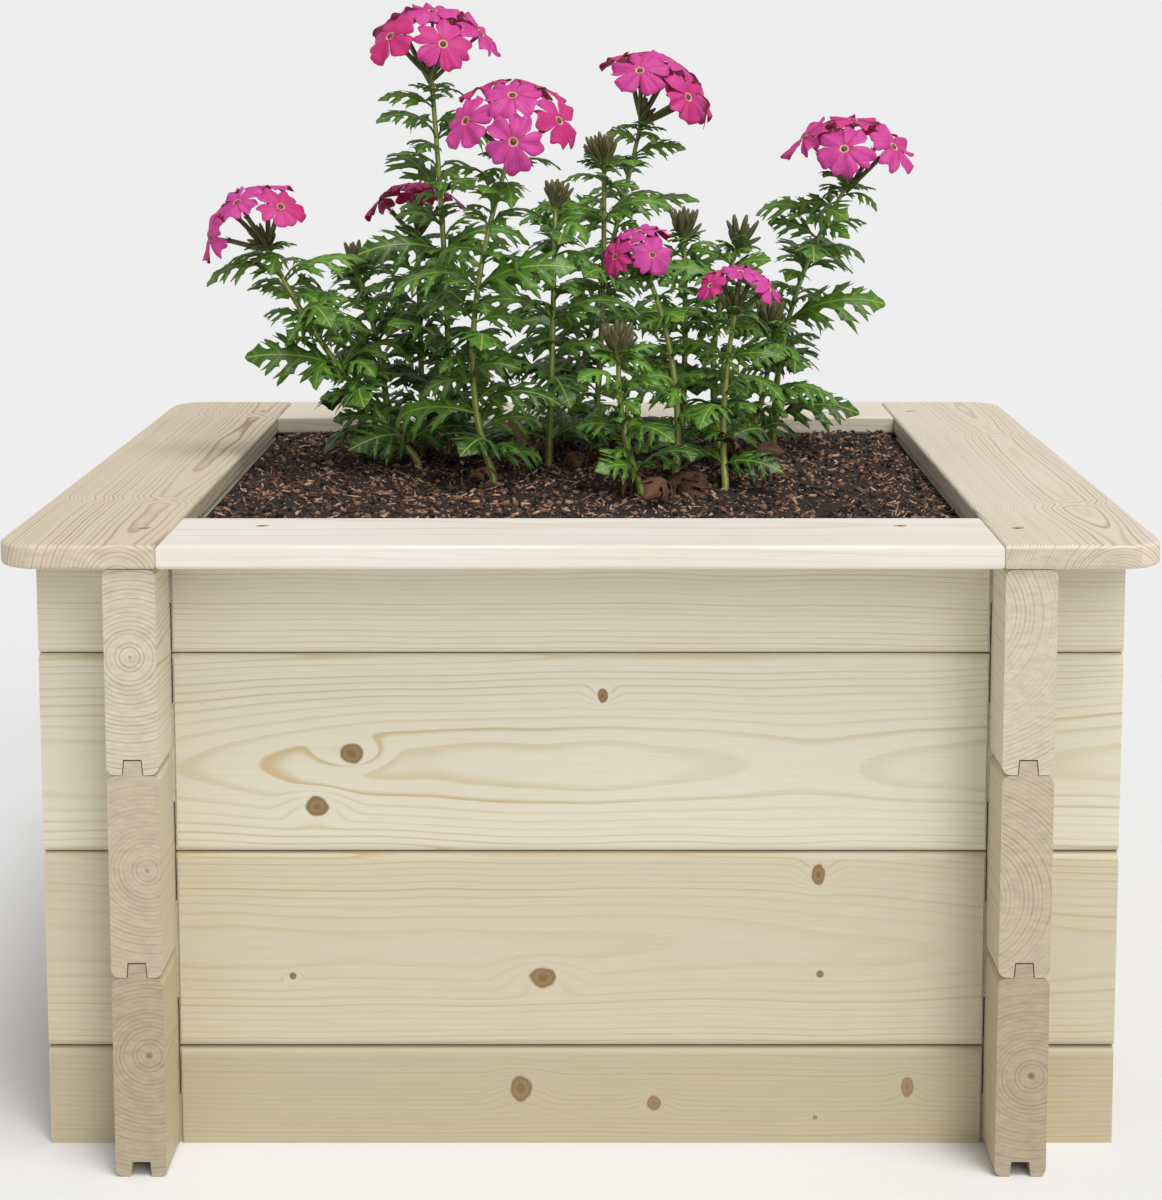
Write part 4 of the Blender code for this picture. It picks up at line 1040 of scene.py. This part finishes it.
# %% [markdown]
# ## Leaf, stem and calyx finishes
# A leaf is green tissue under a thin wax: it has a soft gloss, pale veins, and a paler underside, and light
# scatters in it. Old leaves are darker, and young ones yellower. The veins are drawn from the vein number
# that each point carries, which is whole along a side vein.

# %% Leaf material
def leaf_veins(tree, vein, reach):
    """How strongly a vein shows: the midrib, and the nearest side vein, which fades towards the edge."""
    spread = node(tree, "Math", vein, 0.5, operation="ADD")
    share = node(tree, "Math", node(tree, "Math", spread, operation="FRACT"), 0.5, operation="SUBTRACT")
    share = node(tree, "Math", share, operation="ABSOLUTE")
    side = node(tree, "MapRange", share, 0.03, 0.10, 0.38, 0.0, interpolation_type="SMOOTHSTEP")
    fade = node(tree, "MapRange", reach, 0.10, 0.24, 1.0, 0.25)
    side = node(tree, "Math", side, fade, operation="MULTIPLY")
    rib = node(tree, "MapRange", reach, 0.003, 0.013, 1.0, 0.0, interpolation_type="SMOOTHSTEP")
    return node(tree, "Math", rib, side, operation="MAXIMUM")


def leaf_material(name, old, young, veins, underside, roughness=0.42):
    made, tree = new_material(name, Roughness=roughness, Subsurface_Weight=0.10, Subsurface_Scale=0.002)
    vein, reach, tint = marks_of(tree)
    under = node(tree, "Attribute", attribute_name="under").outputs["Fac"]
    place = node(tree, "TexCoord").outputs["Object"]
    cells = node(tree, "TexNoise", Vector=place, Scale=240.0, Detail=3.0)
    patches = node(tree, "TexNoise", Vector=place, Scale=46.0, Detail=2.0)
    blend = node(tree, "Math", patches, 0.6, tint, operation="MULTIPLY_ADD")
    blend = node(tree, "MapRange", blend, 0.25, 1.15)
    green = node(tree, "Mix", blend, linear(old), linear(young))
    shade = node(tree, "MapRange", cells, 0.2, 0.8, 0.78, 1.18)
    green = node(tree, "VectorMath", green, Scale=shade, operation="SCALE")
    lines = leaf_veins(tree, vein, reach)
    green = node(tree, "Mix", node(tree, "Math", lines, 0.62, operation="MULTIPLY"), green, linear(veins))
    lower = node(tree, "Math", under, 0.80, operation="MULTIPLY")
    green = node(tree, "Mix", lower, green, linear(underside))
    paint(tree, green, node(tree, "Math", cells, 0.6, lines, operation="MULTIPLY_ADD"), 0.6, 0.0006)
    return made


foliage = leaf_material("waxy_leaf_tissue", "#23490C", "#588A22", "#A8B950", "#587A40")
withered = leaf_material("dry_dead_leaf", "#3A2417", "#6A462D", "#7A5636", "#5A3D2A", 0.8)
print("nodes in a leaf's material:", len(foliage.node_tree.nodes))

# %% [markdown]
# Stems, calyces and buds are one soft green skin that goes from yellow-green to a brownish green on the
# calyces, with fine hairs that dull its gloss. The first mark says which of the two it is, the second runs
# around the piece, so that ribs can be drawn, and the third is a flush of red.

# %% Stem and calyx material
skin, tree = new_material("downy_stem_skin", Roughness=0.6, Sheen_Weight=0.1)
huskiness, around, redness = marks_of(tree)
mottle = node(tree, "TexNoise", Vector=node(tree, "TexCoord").outputs["Object"], Scale=260.0, Detail=3.0)
woody = node(tree, "Mix", mottle, linear("#80913C"), linear("#B9C46E"))
husk = node(tree, "Mix", mottle, linear("#2E2B12"), linear("#696A34"))
surface = node(tree, "Mix", huskiness, woody, husk)
ribs = node(tree, "Math", around, 2 * math.pi, operation="MULTIPLY")
ribs = node(tree, "Math", ribs, operation="SINE")
ribs = node(tree, "MapRange", ribs, -1.0, 1.0, 0.62, 1.35)
surface = node(tree, "VectorMath", surface, Scale=ribs, operation="SCALE")
flush = node(tree, "Math", redness, 0.8, operation="MULTIPLY")
paint(tree, node(tree, "Mix", flush, surface, linear("#6E3446")), mottle, 0.5, 0.0004)
print("nodes in the skin:", len(tree.nodes))

# %% [markdown]
# ## Stems, calyces and buds
# All of these are tubes. A plain tube is made once, as rings joined by bridges, and each copy is laid along
# its own line with its own radius at every height. A stem is square with rounded corners, as on most plants
# of this family. A calyx is a slim ribbed tube that ends in pointed teeth.

# %% Tubes
def plain_tube(steps, sides):
    """A tube of height one and radius one, in even steps."""
    return shape_of(ringed([(i / steps, [1.0]) for i in range(steps + 1)], sides))


def lay_tube(pile, tube, line, radius, marks):
    """Lays a tube of height one along a line. radius and marks are functions of the share along the line and
    the angle around it."""
    points, corners = tube
    share, angle = points[:, 2], np.arctan2(points[:, 1], points[:, 0])
    line = np.array([tuple(p) for p in line])
    spots = np.linspace(0, 1, len(line))
    centre = np.stack([np.interp(share, spots, line[:, i]) for i in range(3)], axis=1)
    slope = np.gradient(line, axis=0)
    tangent = np.stack([np.interp(share, spots, slope[:, i]) for i in range(3)], axis=1)
    tangent /= np.linalg.norm(tangent, axis=1, keepdims=True)
    first = np.cross(tangent, (0.19, 0.97, 0.13))
    first /= np.linalg.norm(first, axis=1, keepdims=True)
    second = np.cross(tangent, first)
    out = first * np.cos(angle)[:, None] + second * np.sin(angle)[:, None]
    pile.add(centre + out * radius(share, angle)[:, None], corners, marks(share, angle))


stem_tube, calyx_tube = plain_tube(34, 12), plain_tube(7, 10)
tooth_tube, neck_tube = plain_tube(2, 4), plain_tube(4, 8)
print("triangles in a calyx:", len(calyx_tube[1]), "and in each of its teeth:", len(tooth_tube[1]))

# %% Stem and calyx
ROOT_LEVELS = (0.320, 0.334)
STEM_BASE_RADIUS, STEM_TAPER = 0.00235, 0.00085
TEETH = 5


def add_stem(pile, stem):
    path = [Vector((*stem.base, level)) for level in ROOT_LEVELS] + stem_path(stem)

    def radius(share, angle):
        swell = 0.16 * np.exp(-((share * stem.pairs * 1.1 - 0.4) % 1.0 / 0.10) ** 2)
        return (STEM_BASE_RADIUS - STEM_TAPER * share) * (1.0 + swell - 0.10 * np.cos(4 * angle))

    def marks(share, angle):
        return np.stack([0.10 * (1 - share), angle * 2 / math.pi, 0.12 * share], axis=1)

    lay_tube(pile, stem_tube, path, radius, marks)


def add_calyx(pile, start, end, widest, closed, flush=0.0):
    """A ribbed calyx. Its teeth stand open round a floret's tube, and a bud is closed and blunt."""
    start, end = Vector(start), Vector(end)

    def radius(share, angle):
        body = np.interp(share, (0, 0.12, 0.45, 0.80, 1.0), (0.50, 0.75, 1.0, 0.95, 0.38 if closed else 0.85))
        return widest * body * (1 + 0.10 * np.cos(TEETH * angle))

    def marks(share, angle):
        huskiness = np.clip(0.55 + share, 0, 1)
        return np.stack([huskiness, angle * TEETH / (2 * math.pi), flush * share ** 3], axis=1)

    lay_tube(pile, calyx_tube, [start, (start + end) / 2, end], radius, marks)
    if not closed:
        add_teeth(pile, end, (end - start).normalized(), widest, flush)


def add_teeth(pile, end, axis, widest, flush):
    """Pointed teeth in a ring round a calyx's end."""
    across = axis.orthogonal().normalized()
    for tooth in range(TEETH):
        out = Matrix.Rotation(2 * math.pi * tooth / TEETH, 3, axis) @ across * widest * 0.80
        root = end + out - axis * widest * 0.9
        point = end + out * 1.6 + axis * widest * 1.5
        lay_tube(pile, tooth_tube, [root, (root + point) / 2, point],
                 lambda share, angle: widest * 0.34 * (1.02 - share),
                 lambda share, angle: np.stack([np.ones_like(share), angle * 0, share * flush], axis=1))


# %% [markdown]
# ## Leaves beyond the rule
# The CAD model holds the leaves that give the plants their outline. A real plant also has small leaves in the
# axils, where each pair meets the stem, and narrow bracts under each head. They are drawn small and close to
# the stem, so that they fill the plant without changing its shape. Young buds crowd between the open florets.

# %% Small leaves
LEAFLESS_ABOVE, BARE_BELOW = 0.97, 0.25
BRACTS, BRACT_STEP = 7, 51
LARGE_LEAF = 0.040
leaf_draw = random.Random(23)


def axil_leaves(stem):
    """Side leaves at the nodes and between them, and bracts under the head."""
    path, found = stem_path(stem), []
    for pair in range(2 * stem.pairs):
        share = (pair / 2 + FIRST_PAIR) / stem.pairs * LEAFY_SHARE
        if share > LEAFLESS_ABOVE:
            break
        for side in range(4 if share > BARE_BELOW else 2):
            heading = stem.turn + 45 * pair + 90 * side + 45 + leaf_draw.uniform(-30, 30)
            roll = 30 * math.cos(math.radians(heading)) + leaf_draw.uniform(-25, 25)
            spot = min(SAMPLES, round((share + leaf_draw.uniform(-0.03, 0.03)) * SAMPLES))
            length = stem.leaf * leaf_draw.uniform(0.42, 0.70) * (1.0 - 0.18 * share)
            found.append(new_leaf(path[spot], heading, roll, length, leaf_draw.uniform(40, 76),
                                  leaf_draw.uniform(70, 125), 0.8))
    for side in range(BRACTS):
        heading = stem.turn + BRACT_STEP * side + leaf_draw.uniform(-20, 20)
        found.append(new_leaf(path[-2], heading, leaf_draw.uniform(-20, 20), leaf_draw.uniform(0.014, 0.024),
                              leaf_draw.uniform(28, 62), leaf_draw.uniform(30, 90), 1.0))
    return found


def add_leaves(pile, stem):
    """The CAD model's leaves and the small ones, each with its own tint and curl."""
    grown = [(leaf, large_leaves if leaf.length > LARGE_LEAF else small_leaves) for leaf in leaves[stem.name]]
    grown += [(leaf, axil_shapes) for leaf in axil_leaves(stem)]
    for leaf, family in grown:
        tint = min(1.0, max(0.0, leaf.age * 0.45 + leaf_draw.uniform(-0.15, 0.40)))
        add_leaf(pile, leaf, family[leaf_draw.randrange(len(family))], tint, leaf_draw.uniform(0.7, 1.5))


# %% Grow the leafy stems
GOLDEN_ANGLE = 2.4
CALYX_RADIUS, BUD_RADIUS, SPARE_RADIUS = 0.0017, 0.0020, 0.0016
BUD_FLUSH = 0.10


def add_head(pile, stem):
    """A calyx for each floret or bud, and the spare buds between them."""
    tip, facing = Vector(stem.tip), Vector(stem.facing).normalized()
    for number, place in enumerate(head_places(stem)):
        start = tip - facing * 0.0012 * number
        length = FLORET_REACH * stem.head * CALYX_SHARE if stem.florets else BUD_LENGTH * stem.head
        end = place @ Vector((0, 0, length))
        if stem.florets:
            add_calyx(pile, start, end, CALYX_RADIUS, False)
        else:
            add_calyx(pile, start, end, BUD_RADIUS, True, BUD_FLUSH)
    spare, leans = (9, (12, 66)) if stem.florets else (13, (8, 58))
    for number in range(spare):
        lean = math.radians(leaf_draw.uniform(*leans))
        turn = Matrix.Rotation(GOLDEN_ANGLE * number, 4, "Z") @ Matrix.Rotation(lean, 4, "Y")
        length = leaf_draw.uniform(0.012, 0.019) * (0.6 + 0.4 * stem.head)
        end = tip_seat(stem) @ turn @ Vector((0, 0, length))
        add_calyx(pile, tip - facing * 0.001 * (number % 6), end, SPARE_RADIUS, True, BUD_FLUSH)


for stem in STEMS:
    blades, shoots = Pile(), Pile()
    add_leaves(blades, stem)
    add_stem(shoots, stem)
    add_head(shoots, stem)
    put("stem_" + stem.name + "_leaves", blades.mesh(), foliage, ("stem_" + stem.name,))
    put("stem_" + stem.name + "_shoot", shoots.mesh(), skin)
    print("triangles in", stem.name, "leaves:", blades.triangles(), "shoot:", shoots.triangles())

# %% [markdown]
# ## Petals
# A verbena floret has five petals, each narrow at the throat and broad at its notched end, a little ruffled.
# Fresh ones are a cool pink and old ones redder, with a pale ring round a dark eye. A petal is a small grid
# wrapped to a fan: one direction runs out from the throat, the other across it. Two layers make it a closed
# body, with the darker underside on the lower one. Each copy ruffles in its own way.

# %% Petal material
blossom, tree = new_material("velvety_petal", Roughness=0.55, Subsurface_Weight=0.10, Subsurface_Scale=0.003,
                             Specular_IOR_Level=0.3)
out, across, age = marks_of(tree)
under = node(tree, "Attribute", attribute_name="under").outputs["Fac"]
cloud = node(tree, "TexNoise", Vector=node(tree, "TexCoord").outputs["Object"], Scale=150.0, Detail=3.0)
pink = node(tree, "Mix", cloud, linear("#AE2A78"), linear("#D652A8"))
rays = node(tree, "Math", across, 22.0, operation="MULTIPLY")
rays = node(tree, "Math", rays, operation="SINE")
rays = node(tree, "MapRange", rays, -1.0, 1.0, 0.90, 1.05)
pink = node(tree, "VectorMath", pink, Scale=rays, operation="SCALE")
ripe = node(tree, "MapRange", age, 0.20, 0.85, 0.0, 0.75)
pink = node(tree, "Mix", ripe, pink, linear("#BC2163"))
deep = node(tree, "MapRange", out, 0.14, 0.45, 0.45, 0.0)
pink = node(tree, "Mix", deep, pink, linear("#B01F60"))
back = node(tree, "Math", under, 0.75, operation="MULTIPLY")
pink = node(tree, "Mix", back, pink, linear("#9E1C50"))
top_side = node(tree, "Math", 1.0, under, operation="SUBTRACT")
halo = node(tree, "MapRange", out, 0.10, 0.17, 0.85, 0.0)
halo = node(tree, "Math", halo, top_side, operation="MULTIPLY")
pink = node(tree, "Mix", halo, pink, linear("#EFE3B0"))
eye = node(tree, "MapRange", out, 0.04, 0.075, 1.0, 0.0)
eye = node(tree, "Math", eye, top_side, operation="MULTIPLY")
throat = node(tree, "Mix", age, linear("#6E4A1C"), linear("#A9A046"))
paint(tree, node(tree, "Mix", eye, pink, throat), rays, 0.25, 0.0004)
print("nodes in the petal's material:", len(tree.nodes))

# %% Petal shape
PETAL_STEPS_OUT, PETAL_STEPS_ACROSS = 5, 12
FAN_SHARES, FAN_ANGLES = (0, 0.12, 0.3, 0.55, 0.80, 1), np.radians((38, 37, 36, 36, 35, 30))
PETAL_THICKNESS, THROAT_RADIUS = 0.00028, 0.015
bm = bmesh.new()
bmesh.ops.create_grid(bm, x_segments=PETAL_STEPS_OUT, y_segments=PETAL_STEPS_ACROSS, size=1.0)
add_layer(bm, (0, 0, 1))
bmesh.ops.recalc_face_normals(bm, faces=bm.faces)
petal_points, petal_corners = shape_of(bm)
ruffles = random.Random(31)


def petal_form(petal, size):
    """A petal's points in units of the floret's radius, and how far each lies from the throat."""
    out, across, layer = (petal_points[:, 0] + 1) / 2, petal_points[:, 1], petal_points[:, 2]
    half = np.interp(out, FAN_SHARES, FAN_ANGLES) * (1 + ruffles.uniform(-0.16, 0.08) * out)
    reach, dent, aside = ruffles.uniform(0.88, 1.0), ruffles.uniform(0.04, 0.15), ruffles.uniform(-0.3, 0.3)
    edge = reach - dent * np.exp(-((across - aside) / 0.25) ** 2)
    edge += 0.040 * np.sin(across * 5.5 + ruffles.uniform(0, 6)) - 0.14 * np.abs(across) ** 4
    radius = (THROAT_RADIUS + (1 - THROAT_RADIUS) * out) * (1 + (edge - 1) * out ** 2)
    angle = across * half + petal * 2 * math.pi / PETALS + math.radians(ruffles.uniform(-5, 5)) * out
    wave = np.sin(across * ruffles.uniform(3.5, 6.0) + ruffles.uniform(0, 6)) * ruffles.uniform(0.05, 0.11)
    wave += np.sin(out * ruffles.uniform(4, 7) + ruffles.uniform(0, 6)) * 0.02
    droop = ruffles.uniform(0.02, 0.30)
    height = wave * out ** 1.5 - droop * radius ** 2 + (0.02 * (petal % 2) - 0.05) * out
    height -= 0.035 * np.exp(-(across / 0.22) ** 2) * out + 0.10 * np.exp(-(radius / 0.07) ** 2)
    height += (layer - 0.5) * PETAL_THICKNESS / size
    return np.stack([radius * np.cos(angle), radius * np.sin(angle), height], axis=1), radius


def add_floret(pile, stem, place):
    """Five petals and the tube below them."""
    size = FLORET_RADIUS * stem.head
    lifted = np.array(place @ Matrix.Translation((0, 0, FLORET_REACH * stem.head + FIT)))
    tint = ruffles.random()
    across, layer = petal_points[:, 1], petal_points[:, 2]
    for petal in range(PETALS):
        local, radius = petal_form(petal, size)
        marks = np.stack([radius, across, np.full(len(across), tint * ruffles.uniform(0.6, 1.0))], axis=1)
        pile.add(local * size @ lifted[:3, :3].T + lifted[:3, 3], petal_corners, marks, 1 - layer)
    start = place @ Vector((0, 0, FLORET_REACH * stem.head * (CALYX_SHARE - 0.02)))
    end = Vector(lifted[:3, 3]) - Vector(lifted[:3, 2]) * 0.0006
    lay_tube(pile, neck_tube, [start, (start + end) / 2, end],
             lambda share, angle: np.interp(share, (0, 0.6, 1), (0.0010, 0.0012, 0.0021)),
             lambda share, angle: np.stack([0.62 - 0.6 * share, share * 0, share * 0], axis=1))


for stem in STEMS:
    if stem.florets:
        heads = Pile()
        for place in head_places(stem):
            add_floret(heads, stem, place)
        name = "bloom_" + stem.name
        put(name + "_petals", heads.mesh(), blossom, (name,))
print("triangles in a petal:", len(petal_corners))

# %% [markdown]
# ## Dead leaves on the soil
# Low leaves wither and curl on the soil between the stems. They are the small cut leaves, laid nearly flat
# with a strong bend, in a brown papery finish.

# %% Withered leaves
WITHERED, STRAY, WITHERED_CURL = 38, 0.03, 2.5
dead = Pile()
draw = random.Random(41)
for _ in range(WITHERED):
    stem = STEMS[draw.randrange(len(STEMS))]
    x, y = stem.base[0] + draw.uniform(-STRAY, STRAY), stem.base[1] + draw.uniform(-STRAY, STRAY)
    leaf = new_leaf((x, y, soil_height(x, y) + 0.002), draw.uniform(0, 360), draw.uniform(-50, 50),
                    draw.uniform(0.026, 0.050), draw.uniform(40, 104), draw.uniform(60, 170), 0.0)
    add_leaf(dead, leaf, axil_shapes[draw.randrange(len(axil_shapes))], draw.random(), WITHERED_CURL)
put("withered_leaves", dead.mesh(), withered)
print("withered leaves:", WITHERED)

# %% [markdown]
# ## The finished size
# The dressed model should keep to the box of the CAD model, so its own box is measured and printed, as the
# CAD model's was at the start.

# %% Finish
visual_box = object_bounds()
boxes = {"cad": CAD_BOX, "visual": visual_box}
{name: [list(corner) for corner in box] for name, box in boxes.items()}
print("visual box:", [round(v, 4) for corner in visual_box for v in corner])
